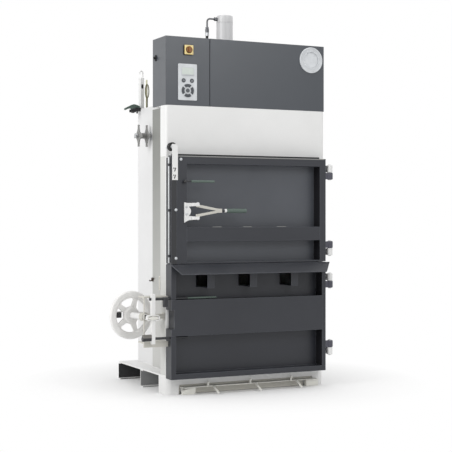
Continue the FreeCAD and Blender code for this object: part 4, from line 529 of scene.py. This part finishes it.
def make_hose():
    """The hose between its two ferrules, along the route of the part's own hose."""
    route = [(-110, -70, 1992), (-110, -70, 1930.5), (-114.5, -42.9, 1875.4),
             (-124.4, 4.6, 1835.9), (-135.5, 56, 1801.7), (-140, 85, 1747.5),
             (-140, 85, 1686)]
    curve = bpy.data.curves.new("hydraulic_hose_line", "CURVE")
    curve.dimensions = "3D"
    spline = curve.splines.new("NURBS")
    spline.points.add(len(route) - 1)
    for point, place in zip(spline.points, route):
        point.co = (*[value * MM for value in place], 1)
    spline.order_u = 3
    spline.use_endpoint_u = True
    spline.resolution_u = 16
    curve.bevel_depth = 8 * MM
    curve.bevel_resolution = 5
    curve.use_fill_caps = True
    curve.materials.append(RUBBER)
    hose = bpy.data.objects.new("hydraulic_hose_line", curve)
    scene.collection.objects.link(hose)
    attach(hose, "frame")
    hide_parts("hydraulic_hose")
    form = Form()
    for base, axis in ((route[0], -UP), (route[-1], UP)):
        form.lathe([(8.1, 0), (10.6, 0), (10.9, 1), (10.9, 5), (9.9, 6), (10.9, 7), (10.9, 11),
                    (9.9, 12), (10.9, 13), (10.9, 17), (9.6, 18.5), (8.1, 18.5)], base, axis, 24)
    crimps = form.done("hose_crimps", ZINC, "frame")


make_hose()

# The part's own pieces ------------------------------------------------------------------------


def paint(node, finish, test):
    """A second finish on a dressed node's faces whose middle and normal pass a test."""
    data = dressed[node].data
    data.materials.append(finish)
    for face in data.polygons:
        if test(face.center / MM, face.normal):
            face.material_index = len(data.materials) - 1


def faces_ahead(normal):
    return normal.y < -0.9


def faces_left(normal):
    return normal.x < -0.9


def refinish(node, finish):
    """A node that keeps its own shape, in another finish."""
    data = frame["nodes"][node].data
    data.materials.clear()
    data.materials.append(finish)


# finish, width of the broken edges in millimetres, and nodes
COATS = (
    (WHITE, 1.2, "upper_panel base_front_beam base_plate base_middle_beam base_rear_beam "
                 "column_left column_right crosshead"),
    (WHITE, 0.8, "spindle_housing"),
    (WALL, 1.0, "side_wall_left side_wall_right rear_wall"),
    (SIDE_POST_PAINTED_SHADE, 1.0, "side_post_left"),
    (BEIGE, 1.0, "lock_bracket"),
    (RAIL, 1.0, "step_rail"),
    (DARK, 1.0, "upper_door_frame upper_door_ribs lower_door_frame lower_door_ribs "
                "lower_door_lip power_unit press_platen chamber_floor"),
    (BLACKCOAT, 0.8, "lock_rods latch_lever"),
    (HOOD, 0.8, "control_cabinet hood_cover"),
    (ZINC, 0.5, "upright_lock_rod roller_axle reel_axle"),
    (CASTING, 0.8, "crank_mount"),
    (STAR, 0.8, "star_reel"),
    (PANEL, 0.8, "control_panel"),
    (KEYS, 0.4, "control_keys"),
    (PANEL, 0.6, "round_badge"),
)
dressed = {node: dress(node, finish, width) for finish, width, nodes in COATS
           for node in nodes.split()}
for node, finish, width in (("rear_post", WHITE, 0.8), ("lock_crossbar", WHITE, 0.8),
                            ("handwheel", CASTING, 1.2)):
    dressed[node] = dress(node, finish, width, dissolve=False)

# in millimetres: where the upper door's sunk sheet lies, and where its right stile starts
SUNK_Y = -431
STILE_X = 400
# how far right the strip beside the upright rod reaches; its front faces get black paint as
# painted shade
ROD_STRIP_PAINTED_SHADE_X = -453
# the right stiles' inner sides lie between these; they carry painted shade
STILE_SIDE_X = (250, 450)

# painted light on the upper door's sunk sheet and right stile's front
paint("upper_door_frame", DOOR_SHEET_PAINTED_LIGHT, lambda middle, normal: faces_ahead(normal)
      and (middle.y > SUNK_Y or middle.x > STILE_X))
# painted shade: black on the door's front faces left of the upright rod
for node in ("upper_door_frame", "upper_door_ribs"):
    paint(node, BLACKCOAT, lambda middle, normal: faces_ahead(normal) and middle.x < ROD_STRIP_PAINTED_SHADE_X)
# painted shade on the inner sides of both doors' right stiles
for node in ("upper_door_frame", "lower_door_frame"):
    paint(node, STILE_SIDE_PAINTED_SHADE, lambda middle, normal: faces_left(normal)
          and STILE_SIDE_X[0] < middle.x < STILE_SIDE_X[1])
# painted shade: the column's left side and the front faces of the base's rear and middle beams
for node, finish, faces in (("column_left", COLUMN_SIDE_PAINTED_SHADE, faces_left),
                            ("base_rear_beam", REAR_BEAM_PAINTED_SHADE, faces_ahead),
                            ("base_middle_beam", GREY_PAINTED_SHADE, faces_ahead)):
    paint(node, finish, lambda middle, normal: faces(normal))
refinish("piston_rod", CHROME)
refinish("mains_inlet", RUBBER)

# Press cylinder and power unit ----------------------------------------------------------------

CYLINDER_Y = -70
PIPE_X = -110
MOTOR_Y, MOTOR_Z = 166, 1830
TANK_TOP = 1752


def make_cylinder():
    """The barrel with its two clamp rings, the port's fittings and pipe, and the bolts."""
    form = Form()
    form.lathe([(25.2, 1385), (44, 1385), (46.6, 1387.5), (46.6, 1423), (45, 1425), (44.6, 1427),
                (47, 1430), (47, 2051), (45.6, 2053), (45.6, 2056), (47, 2058), (47, 2090),
                (43, 2095), (0, 2095)], (0, CYLINDER_Y, 0), UP, 64, highlit_and_worn=(3, 6, 11))
    for z, turn in ((1426.5, 0), (2054.5, 0.4)):
        form.tube([(a, b + CYLINDER_Y, z) for a, b in oval(48, 45.6, 45.6, turn)], 1.9, 6,
                  closed=True)
    form.done("cylinder_barrel", BARREL, "frame", "cylinder")
    form = Form()
    form.lathe([(11, 0), (11, 8), (9.6, 9), (9.6, 12), (11, 13), (11, 20), (8, 22), (0, 22)],
               (-45, CYLINDER_Y, 2073), LEFT, 6, phase=0.5)
    port = (PIPE_X, CYLINDER_Y, 2014)
    form.lathe([(9.5, 0), (10.5, 1), (10.5, 9), (8.5, 10.5), (5, 10.5)], port, UP, 6)
    form.lathe([(0, -22), (9.4, -22), (10.8, -20), (10.8, -1), (9.4, 0), (5, 1)], port, UP, 24)
    form.done("cylinder_fittings", FITTING, "frame")
    angles = [math.radians(11.25 * step) for step in range(9)]
    bend = [(-91 - 19 * math.cos(angle), CYLINDER_Y, 2054 + 19 * math.sin(angle))
            for angle in angles]
    form = Form()
    form.tube([(PIPE_X, CYLINDER_Y, 2020), *bend, (-60, CYLINDER_Y, 2073)], 4.9, 14)
    form.done("cylinder_pipe", FITTING, "frame")
    form = Form()
    # round the gland, then on the ends of the crosshead's channels
    for a, b in oval(6, 72, 72, math.radians(30)):
        form.bolt((a, b + CYLINDER_Y, 1578), UP, 12)
    for x in (-352, 352):
        for z in (1480, 1540):
            form.bolt((x, -173, z), AHEAD, 10)
            form.bolt((x, 32, z), BACK, 10)
    form.done("crosshead_bolts", ZINC, "frame")


def make_power_unit():
    """The motor's fins, fan cover and terminal box, and the tank's and valve's fittings."""
    form = Form()
    for number in range(22):
        angle = math.radians(-40 + 260 * number / 21)
        form.plate([(-30, 69), (128, 69), (128, 77), (126, 78.5), (-28, 78.5), (-30, 77)],
                   -1.3, 1.3, 0.4, (RIGHT, Vector((0, math.cos(angle), math.sin(angle)))),
                   (0, MOTOR_Y, MOTOR_Z))
    form.lathe([(60, 0), (71, 0), (73, 2), (73, 12), (71, 13), (60, 13)],
               (-44, MOTOR_Y, MOTOR_Z), RIGHT, 48, highlit_and_worn=(1,))
    form.done("motor_fins", MOTOR, "frame")
    form = Form()
    form.lathe([(70.5, 0), (73, 2), (73, 60), (69, 70), (60, 76), (56, 73), (20, 73), (18, 76),
                (0, 76)], (141, MOTOR_Y, MOTOR_Z), RIGHT, 48, highlit_and_worn=(2,))
    for radius in (28, 38, 48):
        form.tube([(215, MOTOR_Y + a, MOTOR_Z + b) for a, b in oval(32, radius, radius)], 1.8, 6,
                  closed=True)
    form.done("fan_cover", BLACKCOAT, "frame")
    form = Form()
    form.block((12, 228, 1806), (104, 262, 1866), 3)
    form.block((9, 262, 1803), (107, 268, 1869), 2)
    form.done("terminal_box", MOTOR, "frame")
    form = Form()
    for x, z in ((16, 1810), (100, 1810), (16, 1862), (100, 1862)):
        form.screw((x, 268, z), BACK, 3.4)
    for x in (-60, 330):
        for y in (66, 266):
            form.bolt((x, y, TANK_TOP), UP, 8)
    for x in (-158, -122):
        for y in (63, 117):
            form.bolt((x, y, 1658), UP, 6, washer=False)
    for x in (-350, -120, 120, 350):
        form.bolt((x, 288, 1580), UP, 8)
    form.done("power_unit_bolts", ZINC, "frame")
    form = Form()
    for y in (110, 226):
        form.lathe([(0, 0), (30, 0), (31, 1), (31, 5), (24, 6), (23, 20), (25, 22), (25, 34),
                    (22, 38), (0, 38)], (298, y, TANK_TOP), UP, 32, highlit_and_worn=(6,))
    form.lathe([(0, 0), (11, 0), (11, 5), (8, 6), (8, 9), (0, 9)], (300, 280, 1600), BACK, 6)
    form.done("tank_caps", BLACK, "frame")
    form = Form()
    form.block((-50, 280, 1618), (-26, 287, 1726), 2)
    form.done("gauge_frame", ZINC, "frame")
    form = Form()
    form.block((-44, 285, 1634), (-32, 289, 1710), 2)
    form.done("gauge_window", SCREEN, "frame")
    form = Form()
    form.lathe([(0, 0), (17, 0), (18, 1), (18, 42), (16, 44), (0, 44)], (-114, 90, 1632), RIGHT,
               32, highlit_and_worn=(3,))
    form.lathe([(0, 0), (13, 0), (13, 9), (10, 11), (10, 22), (8, 24), (0, 24)],
               (-140, 125, 1622), BACK, 6)
    form.done("valve_parts", FITTING, "frame")


# Base, doors and hinges ---------------------------------------------------------------------


def make_base():
    """The light sheet that closes the front beam's arch behind the shelf, standing in as painted
    shade for the shaded floor under the base, and the shelf's pads.
    """
    form = Form()
    # painted shade: a sheet where the shaded floor under the base shows
    form.block((-410, -350, 40), (410, -346, 51.5), 0.8)
    form.block((-321, -350, 2), (357, -346, 34), 0.8)
    form.block((-410, -350, 2), (-397, -346, 40), 0.8)
    form.done("arch_painted_shade_sheet", BEIGE, "frame")
    form = Form()
    for x in (-359, 395):
        form.block((x - 32, -396, 35), (x + 32, -320, 38.5), 1.2)
    form.done("shelf_pads", RAIL, "frame")


def make_door_details():
    """Dark strip and painted highlight over the doors, catch plate, caps, painted door shadow on
    the column, tacks and latch ball.
    """
    form = Form()
    # a dark strip over the upper door's top edge
    form.block((-452, -366, 1273), (452, -360, 1284), 1.2)
    form.done("door_top_dark_strip", RUBBER, "frame")
    form = Form()
    # painted highlight: a lighter line along the upper door's top edge
    form.block((-452, -436.2, 1266), (444, -434, 1271), 0.8)
    form.done("door_top_painted_highlight", STAR, "upper_door")
    form = Form()
    outline = [(-480, 1142), (-449, 1142), (-449, 1317), (-461, 1331), (-480, 1331)]
    form.plate(outline, 435, 441, 0.8)
    form.done("catch_plate_cut", WHITE, "upper_door", "catch_plate")
    form = Form()
    for x, z in ((-465, 1197), (-466, 1160)):
        form.plate([(x - 6, z - 10), (x - 1, z - 11), (x + 6, z + 9), (x + 1, z + 10)],
                   440.5, 441.6, 0.2)
        form.disc(3.4, 1.2, (x - 7, -440.6, z + 7), AHEAD, 16)
    form.done("catch_plate_slots", RUBBER, "upper_door")
    form = Form()
    for x, z in ((-429.3, 1252), (-457.5, 985.4), (-457.5, 729.8)):
        form.lathe([(8, 0), (8, 1), (6.8, 3.4), (4, 5.2), (0, 5.8)], (x, -435, z), AHEAD, 24)
    form.done("stile_caps", FRAME_GREY, "upper_door")
    form = Form()
    # painted shadow: a grey strip for the door's shadow on the column's front
    form.block((-483, -362.5, 702), (-470, -360, 1262), 0.8)
    form.done("column_painted_door_shadow", GREY_PAINTED_SHADE, "frame")
    form = Form()
    for start, end in ((-244, -190), (-62, -10), (144, 200)):
        form.bead((start, -433, 894.5), (end, -433, 894.5), 2.2, 9)
    form.done("rib_tacks", STAR, "upper_door")
    form = Form()
    form.lathe([(0, -9), (5, -7.5), (8, -4), (9, 0), (8, 4), (5, 7.5), (0, 9)],
               (-411, -450, 1134), AHEAD, 24)
    form.done("latch_ball", BLACK, "latch_handle")


HINGE = (485, -425)


def knuckle(form, low, high, profile, highlit_and_worn):
    """A round knuckle between two heights; its profile is mirrored to the other end."""
    outline = [(8.2, 0), *profile]
    outline += [(a, high - low - b) for a, b in reversed(outline)]
    form.lathe(outline, (*HINGE, low), UP, 32, highlit_and_worn=highlit_and_worn)


def make_hinges():
    """Round knuckles on their pins, with the leaves that carry them."""
    for body, spans in (("upper_door", ((1157, 1197), (773, 813))),
                        ("lower_door", ((551, 591), (217, 257)))):
        form = Form()
        for low, high in spans:
            knuckle(form, low, high, [(13, 0), (16, 2.5), (17, 6)], (1, 5))
            form.block((453, -433, low + 2), (476, -417, high - 2), 1)
        form.done(body + "_knuckles", KNUCKLE, body, body + "_hinges")
    form = Form()
    for low, high in ((1198, 1238), (733, 772.5), (591.5, 631), (177, 216.5)):
        knuckle(form, low, high, [(13.6, 0), (15, 1.5)], (1, 3))
        form.block((476, -420, low + 1), (492, -360, high - 1), 1)
    for low, high in ((1154, 1242), (729, 817), (547, 635), (173, 261)):
        form.lathe([(0, 0), (6.8, 0), (7.8, 1), (7.8, high - low - 1), (6.8, high - low),
                    (0, high - low)], (*HINGE, low), UP, 24)
    form.done("hinge_knuckles", WHITE, "frame", "frame_hinges")


# Fittings on the left side ------------------------------------------------------------------


def make_left_fittings():
    """Hook and clip on the left wall, and the lock rods' guide and sleeve."""
    form = Form()
    form.tube([(-405, 6, 600), (-409, 14, 604), (-410, 24, 600), (-406, 32, 594),
               (-404, 42, 590), (-408, 52, 586), (-411, 58, 590)], 3.4, 8)
    form.block((-404, 20, 584), (-400, 44, 606), 1.2)
    form.done("side_hook", BROWN, "frame")
    form = Form()
    form.block((-405, -80, 540), (-400, -66, 620), 1.5)
    form.screw((-405, -73, 608), LEFT, 4)
    form.screw((-405, -73, 552), LEFT, 4)
    form.done("side_clip", BEIGE, "frame")
    form = Form()
    form.block((-524, -431, 474), (-500, -409, 526), 2)
    form.lathe([(5, 0), (8, 0), (8, 6), (5, 6)], (-524, -420, 517), LEFT, 20)
    form.done("rod_guide", BLACKCOAT, "lower_door")
    form = Form()
    form.block((-641, -432, 310), (-591, -409, 333), 3)
    form.done("rod_sleeve", SLEEVE, "lower_door")


# Welds --------------------------------------------------------------------------------------


def make_welds():
    """Beads along the base plate, the posts and the rear wall's ribs."""
    form = Form()
    for side in (-1, 1):
        for x0, y0, x1, y1 in ((374, -276, 374, 296), (376, -284, 482, -284),
                               (401, -76, 401, 34)):
            form.bead((x0 * side, y0, 104), (x1 * side, y1, 104), 2.6)
        runs = [(y, z, z + 60) for z in (400, 760, 1120, 1480) for y in (38, -81)]
        for y, low, high in (*runs, (-284, 400, 480), (-284, 1100, 1180)):
            form.bead((374 * side, y, low), (374 * side, y, high), 2.4)
    for low, high in ((264, 324), (615, 675), (966, 1026), (1317, 1377)):
        for z in (low - 0.5, high + 0.5):
            for x in (-300, -100, 100, 300):
                form.bead((x - 35, 305, z), (x + 35, 305, z), 2.4)
    form.bead((-366, 305, 104), (366, 305, 104), 2.6)
    form.done("weld_beads", WHITE, "frame")


# Fork handle ----------------------------------------------------------------------------------

FORK_Y, FORK_Z = -457, 981


def make_fork():
    """The yoke on the door, and the fork of two mirrored arms with its stem and grip."""
    form = Form()
    outline = [(-412, 918), (-400, 927), (-385, 932), (-337, 933), (-337, 950), (-386, 952)]
    for step in range(9):
        angle = math.radians(-70 + 140 * step / 8)
        outline.append((-398 + 22 * math.cos(angle), 978 + 25 * math.sin(angle)))
    outline += [(-386, 1004), (-337, 1006), (-337, 1022), (-400, 1021), (-412, 1025)]
    form.plate(outline, 435, 447, 0.9)
    for low, high in ((934, 950), (1005, 1022)):
        form.block((-372, -466, low), (-335, -445, high), 1.6)
    form.done("fork_yoke", WHITE, "upper_door", "fork_bracket")
    form = Form()
    for base, axis in (((-342, FORK_Y, 1022), UP), ((-342, FORK_Y, 934), -UP)):
        form.lathe([(0, 0), (6.5, 0), (6.5, 2.5), (5, 4), (0, 4)], base, axis, 20)
    for z in (962, 1000):
        form.bolt((-402, -447, z), AHEAD, 6)
    form.done("fork_pins", ZINC, "upper_door")
    form = Form()
    upper = [(-351, 1012), (-351, 1000), (-339, 1000), (-246, 983.5), (-240, 981),
             (-202, 981), (-202, 991.5), (-226, 992), (-334, 1012)]
    lower = [(a, 2 * FORK_Z - b) for a, b in reversed(upper)]
    for outline in (upper, lower):
        form.plate(outline, 451, 463, 0.8)
    form.done("fork_arms_forged", BEIGE, "fork_handle", "fork_arms")
    form = Form()
    form.disc(5.5, 17, (-202, FORK_Y, FORK_Z), RIGHT, 20)
    form.done("fork_stem", BLACKCOAT, "fork_handle")
    form = Form()
    form.lathe([(0, 0), (8.4, 0), (9.6, 1.2), (9.6, 10.8), (8.4, 12), (0, 12)],
               (-185, FORK_Y, FORK_Z), RIGHT, 28, highlit_and_worn=(1, 3))
    form.done("fork_collar", WHITE, "fork_handle")
    make_grip("fork_grip", "fork_handle", (-172, FORK_Y, FORK_Z), 119, 12.5)


def make_grip(node, body, base, length, radius):
    """A moulded grip along X: a flange, a slim waist with fine rings, and a round end."""
    outline = [(0, 0), (radius * 0.85, 0), (radius * 1.02, 1.5), (radius * 1.02, 4),
               (radius * 0.8, 6)]
    rings = int((length - 24) / 5)
    for number in range(rings):
        start = 8 + number * 5
        share = number / max(1, rings - 1)
        full = radius * (0.86 + 0.1 * math.sin(math.pi * share))
        outline += [(full, start), (full, start + 3.6), (full * 0.955, start + 4.1),
                    (full * 0.955, start + 4.7)]
    end = length - 16
    outline += [(radius * 0.9, end + 2), (radius * 0.92, end + 8), (radius * 0.82, end + 12),
                (radius * 0.55, end + 15), (0, end + 16)]
    form = Form()
    form.lathe(outline, base, RIGHT, 28)
    form.done(node + "_moulded", GREEN, body, node)


# Roller --------------------------------------------------------------------------------------


def make_roller():
    """The grooved roller behind the catch plate's upper end."""
    form = Form()
    form.lathe([(12.1, 0), (21, 0), (23, 2), (23, 4), (21.5, 6), (21.5, 19), (23, 21), (23, 23),
                (21, 25), (12.1, 25)], (-474, -404, 1318), AHEAD, 40)
    form.done("door_roller_turned", RUBBER, "roller", "door_roller")


# Handwheel ------------------------------------------------------------------------------------

WHEEL_MIDDLE = Vector((-622, -203, 420))
WHEEL_TILT = math.radians(9)


def make_wheel_details():
    """Crank block and knob, hub nut, the ball by the housing, and the spindle with its head."""
    ahead = Vector((math.sin(WHEEL_TILT), -math.cos(WHEEL_TILT), 0))
    across = UP.cross(ahead)

    def at(x, y, z):
        """A place across, up and ahead of the wheel's middle."""
        return WHEEL_MIDDLE + across * x + UP * y + ahead * z

    form = Form()
    middle, half = at(-72, 3, -7), Vector((16, 15, 5))
    form.block(middle - half, middle + half, 2.2,
               Matrix((across, UP, across.cross(UP))).transposed())
    form.lathe([(0, 0), (8, 0), (8, 4), (6, 5.5), (0, 5.5)], at(-72, 3, -2), ahead, 6)
    form.done("crank_block", BLACK, "wheel")
    form = Form()
    hub = at(0, 0, -13)
    form.lathe([(0, 0), (22, 0), (23, 1), (23, 3), (22, 4), (0, 4)], hub, -ahead, 32)
    form.lathe([(0, 4), (14.5, 4), (14.5, 13), (12.5, 15), (0, 15)], hub, -ahead, 6)
    form.lathe([(0, 15), (7.5, 15), (7.5, 20), (6, 21.5), (0, 21.5)], hub, -ahead, 20)
    form.done("hub_nut", ZINC, "wheel")
    form = Form()
    angles = [math.pi * step / 12 for step in range(1, 12)]
    form.lathe([(0, -10.4), *((10.4 * math.sin(angle), -10.4 * math.cos(angle))
                              for angle in angles), (0, 10.4)], (-612.5, -385, 424), AHEAD, 24)
    form.done("housing_ball", BLACK, "frame")
    form = Form()
    form.lathe([(0, -14), (8, -14), (8, 240), (7, 243), (7, 250), (0, 250)],
               WHEEL_MIDDLE, ahead, 28)
    lens = [(a - 8, b) for a, b in oval(24, 28, 7.5)]
    form.plate(lens, -4, 4, 1.5, (across, UP), at(0, 0, 250))
    form.done("spindle_and_head", RAIL, "wheel", "spindle")
    form = Form()
    form.lathe([(5.2, 0), (7, 0), (9, 1.2), (10.2, 4), (11.4, 12), (11.9, 19), (11.5, 28),
                (10, 34), (9, 36), (9.6, 37.5), (9.6, 39.4), (8, 40), (5.2, 40)],
               at(-76, 5, -58), ahead, 32)
    form.done("crank_knob_turned", PALE, "wheel_knob", "crank_knob")


# Front of the hood ----------------------------------------------------------------------------

SWITCH = (-355, -373, 1842)
KEYPAD = Vector((-360, -368.2, 1624))
BADGE = (399, -365, 1830)


def make_switch():
    """A rotary main switch: a deep dark base, its yellow plate and the ridged knob."""
    form = Form()
    form.block((-381, -370.5, 1816), (-329, -360, 1868), 1.5)
    form.done("switch_base", BROWN, "frame")
    form = Form()
    form.block((-380, -373, 1817), (-330, -370, 1867), 1.2, segments=3)
    form.done("switch_yellow_plate", YELLOW, "frame", "switch_plate")
    form = Form()
    form.lathe([(0, 0), (18.5, 0), (19, 0.8), (19, 2.2), (18, 3), (0, 3)], SWITCH, AHEAD, 40)
    form.done("switch_collar", BROWN, "frame")
    form = Form()
    form.lathe([(0, 3.6), (16.5, 3.6), (17, 5), (16.4, 7), (0, 7)], SWITCH, AHEAD, 40)
    form.block((-361, -388, 1826), (-349, -378, 1858), 2.2)
    form.done("switch_knob_moulded", KNOB, "main_switch", "switch_knob")
    form = Form()
    for x in (-375, -335):
        for z in (1822, 1862):
            form.screw((x, -373, z), AHEAD, 2.2)
    form.done("switch_screws", ZINC, "frame")


def make_panel():
    """Display, frame and the key marks of the control panel."""
    form = Form()
    form.block((-398, -367.4, 1706), (-322, -365, 1750), 1.0)
    form.done("display_frame", FRAME_GREY, "frame")
    form = Form()
    form.block((-394, -368.2, 1710), (-326, -366.6, 1746), 0.6)
    form.done("display_window", SCREEN, "frame")
    form = Form()
    for side, up in ((0, 1), (0, -1), (1, 0), (-1, 0)):
        form.plate([(29, 0), (23.5, 4.5), (23.5, -4.5)], -0.25, 0.35, 0,
                   (Vector((side, 0, up)), Vector((up, 0, -side))), KEYPAD)
    for x in (-384.5, -335.5):
        form.lathe([(2.6, 0), (3.8, 0), (3.8, 0.5), (2.6, 0.5), (2.6, 0)], (x, -368.1, 1677.5),
                   AHEAD, 20)
    for side in (-3, 3):
        for up in (3, -3):
            form.disc(1.2, 0.4, KEYPAD + Vector((side, 0.1, up)), AHEAD, 10)
    form.done("key_marks", MARK, "frame")


def make_badge():
    """Two rings and the band between them, all bare."""
    form = Form()
    form.lathe([(66, 0), (71.6, 0), (72, 0.6), (72, 1.6), (70.5, 2.6), (66.5, 2.6), (66, 1.8),
                (66, 0)], BADGE, AHEAD, 72, highlit_and_worn=(2, 3))
    form.lathe([(45, 0), (48.5, 0), (48.5, 1.6), (47.6, 2.4), (45.8, 2.4), (45, 1.6), (45, 0)],
               BADGE, AHEAD, 60)
    form.done("badge_rings", PANEL, "frame")
    form = Form()
    form.lathe([(48.5, 0.2), (66, 0.2), (66, 1.0), (48.5, 1.0), (48.5, 0.2)], BADGE, AHEAD, 60)
    form.done("badge_band", FRAME_GREY, "frame")


# Left side, rear ------------------------------------------------------------------------------


def make_left_side():
    """The oval hanger and its band, the post's dark grommet and the release lever."""
    form = Form()
    form.tube([(a - 336, 280, b + 1684) for a, b in oval(28, 11, 40, -math.pi / 2)], 3.2, 10,
              closed=True)
    form.tube([(-336, 280, 1580), (-337, 280, 1610), (-336, 280, 1646)], 5.2, 10)
    form.done("oval_hanger", OLIVE, "frame", "cable_hanger")
    form = Form()
    form.block((-341, 287, 1580), (-330, 290, 1752), 1.0)
    form.done("hanger_band", BAND, "frame")
    form = Form()
    form.plate(oval(24, 5.2, 13), -297.5, -294.6, 0.8, base=(-360, 0, 1713))
    form.done("post_grommet", RUBBER, "frame")
    form = Form()
    outline = [(-470, 1573), (-466, 1570), (-437, 1584), (-425, 1580), (-420, 1572),
               (-404, 1572), (-398, 1582), (-376, 1582), (-374, 1596), (-397, 1604),
               (-411, 1607), (-424, 1603), (-446, 1592), (-470, 1580)]
    form.plate(outline, -307, -293, 2.2)
    form.done("release_lever_moulded", GREEN, "release", "release_lever")
    form = Form()
    for y, axis in ((291, AHEAD), (309, BACK)):
        form.lathe([(0, 0), (9, 0), (9, 2), (7, 3.5), (0, 3.5)], (-412, y, 1574), axis, 20)
    for low, high in ((286, 291.5), (308.5, 314)):
        form.block((-435, low, 1559), (-402, high, 1576), 2)
        form.block((-406, low, 1566), (-373, high, 1586), 2)
    form.lathe([(0, 0), (8, 0), (10, 2), (10, 5), (8, 7), (0, 7)], (-424, 282, 1554), UP, 20)
    form.lathe([(0, 0), (4, 0), (5, 2), (5, 16), (0, 16)], (-396, 286, 1552), UP, 20)
    form.done("release_fittings", BLACK, "frame", "release_bracket")


make_cylinder()
make_power_unit()
make_base()
make_door_details()
make_hinges()
make_left_fittings()
make_welds()
make_fork()
make_grip("latch_grip", "latch_handle", (-377, -450, 1136), 138, 7.2)
make_grip("lower_grip", "lower_door", (-385, -420, 518), 170, 6.2)
make_roller()
make_wheel_details()
make_switch()
make_panel()
make_badge()
make_left_side()

# Floor and light ------------------------------------------------------------------------------

# in metres: half the floor's side, and how far out it starts and ends to turn white
FLOOR_REACH = 30
WHITE_FROM, WHITE_BEYOND = 0.5, 1.2
WORLD_LIGHT = 0.56
PURE_WHITE = (1, 1, 1, 1)


def make_floor():
    """A pale floor that turns into the plain white background away from the object."""
    mesh = bpy.data.meshes.new("studio_floor")
    mesh.from_pydata([(a * FLOOR_REACH, b * FLOOR_REACH, 0)
                      for a, b in ((-1, -1), (1, -1), (1, 1), (-1, 1))], [], [(0, 1, 2, 3)])
    floor = bpy.data.objects.new("studio_floor", mesh)
    scene.collection.objects.link(floor)
    floor.location.z = -0.0005
    made = Shader("floor_paint")
    made.bsdf.inputs["Roughness"].default_value = 0.9
    made.bsdf.inputs["Specular IOR Level"].default_value = 0.1
    made.bsdf.inputs["Base Color"].default_value = (0.92, 0.92, 0.92, 1)
    away = made.node("ShaderNodeVectorMath", operation="LENGTH")
    made.link(made.place, away.inputs[0])
    fade = made.ramp(away.outputs["Value"], WHITE_FROM, WHITE_BEYOND)
    path = made.node("ShaderNodeLightPath").outputs
    seen = made.join("MAXIMUM", path["Is Camera Ray"], path["Is Glossy Ray"])
    pick = made.node("ShaderNodeMixShader")
    made.link(made.join("MULTIPLY", fade, seen), pick.inputs[0])
    made.link(made.bsdf.outputs[0], pick.inputs[1])
    made.link(made.node("ShaderNodeEmission", Color=PURE_WHITE, Strength=1.0).outputs[0],
              pick.inputs[2])
    made.link(pick.outputs[0], made.tree.nodes["Material Output"].inputs["Surface"])
    mesh.materials.append(made.material)


def make_world():
    """Even light on the object; the camera and gloss see plain white."""
    world = bpy.data.worlds.new("studio")
    scene.world = world
    world.use_nodes = True
    tree = world.node_tree
    plain = tree.nodes["Background"]
    seen = tree.nodes.new("ShaderNodeBackground")
    for shade, strength in ((plain, WORLD_LIGHT), (seen, 1)):
        shade.inputs["Color"].default_value = PURE_WHITE
        shade.inputs["Strength"].default_value = strength
    path = tree.nodes.new("ShaderNodeLightPath")
    either = tree.nodes.new("ShaderNodeMath")
    either.operation = "MAXIMUM"
    pick = tree.nodes.new("ShaderNodeMixShader")
    for output, target in ((path.outputs["Is Camera Ray"], either.inputs[0]),
                           (path.outputs["Is Glossy Ray"], either.inputs[1]),
                           (either.outputs[0], pick.inputs[0]),
                           (plain.outputs[0], pick.inputs[1]),
                           (seen.outputs[0], pick.inputs[2]),
                           (pick.outputs[0], tree.nodes["World Output"].inputs[0])):
        tree.links.new(output, target)


def lamp(name, place, target, side, power):
    """A square lamp aimed at a target."""
    light = bpy.data.lights.new(name, "AREA")
    light.shape = "RECTANGLE"
    light.size = light.size_y = side
    light.energy = power
    holder = bpy.data.objects.new(name, light)
    scene.collection.objects.link(holder)
    holder.location = place
    aim = Vector(target) - Vector(place)
    holder.rotation_euler = aim.to_track_quat("-Z", "Y").to_euler()


make_floor()
make_world()
lamp("key", (-4.65, -0.95, 2.9), (0, 0, 1.0), 2.6, 114)
lamp("front", (1.1, -4.7, 3.4), (0, -0.3, 1.2), 1.8, 48)
lamp("top", (0.4, -0.6, 4.6), (0, 0, 1.0), 3.0, 60)
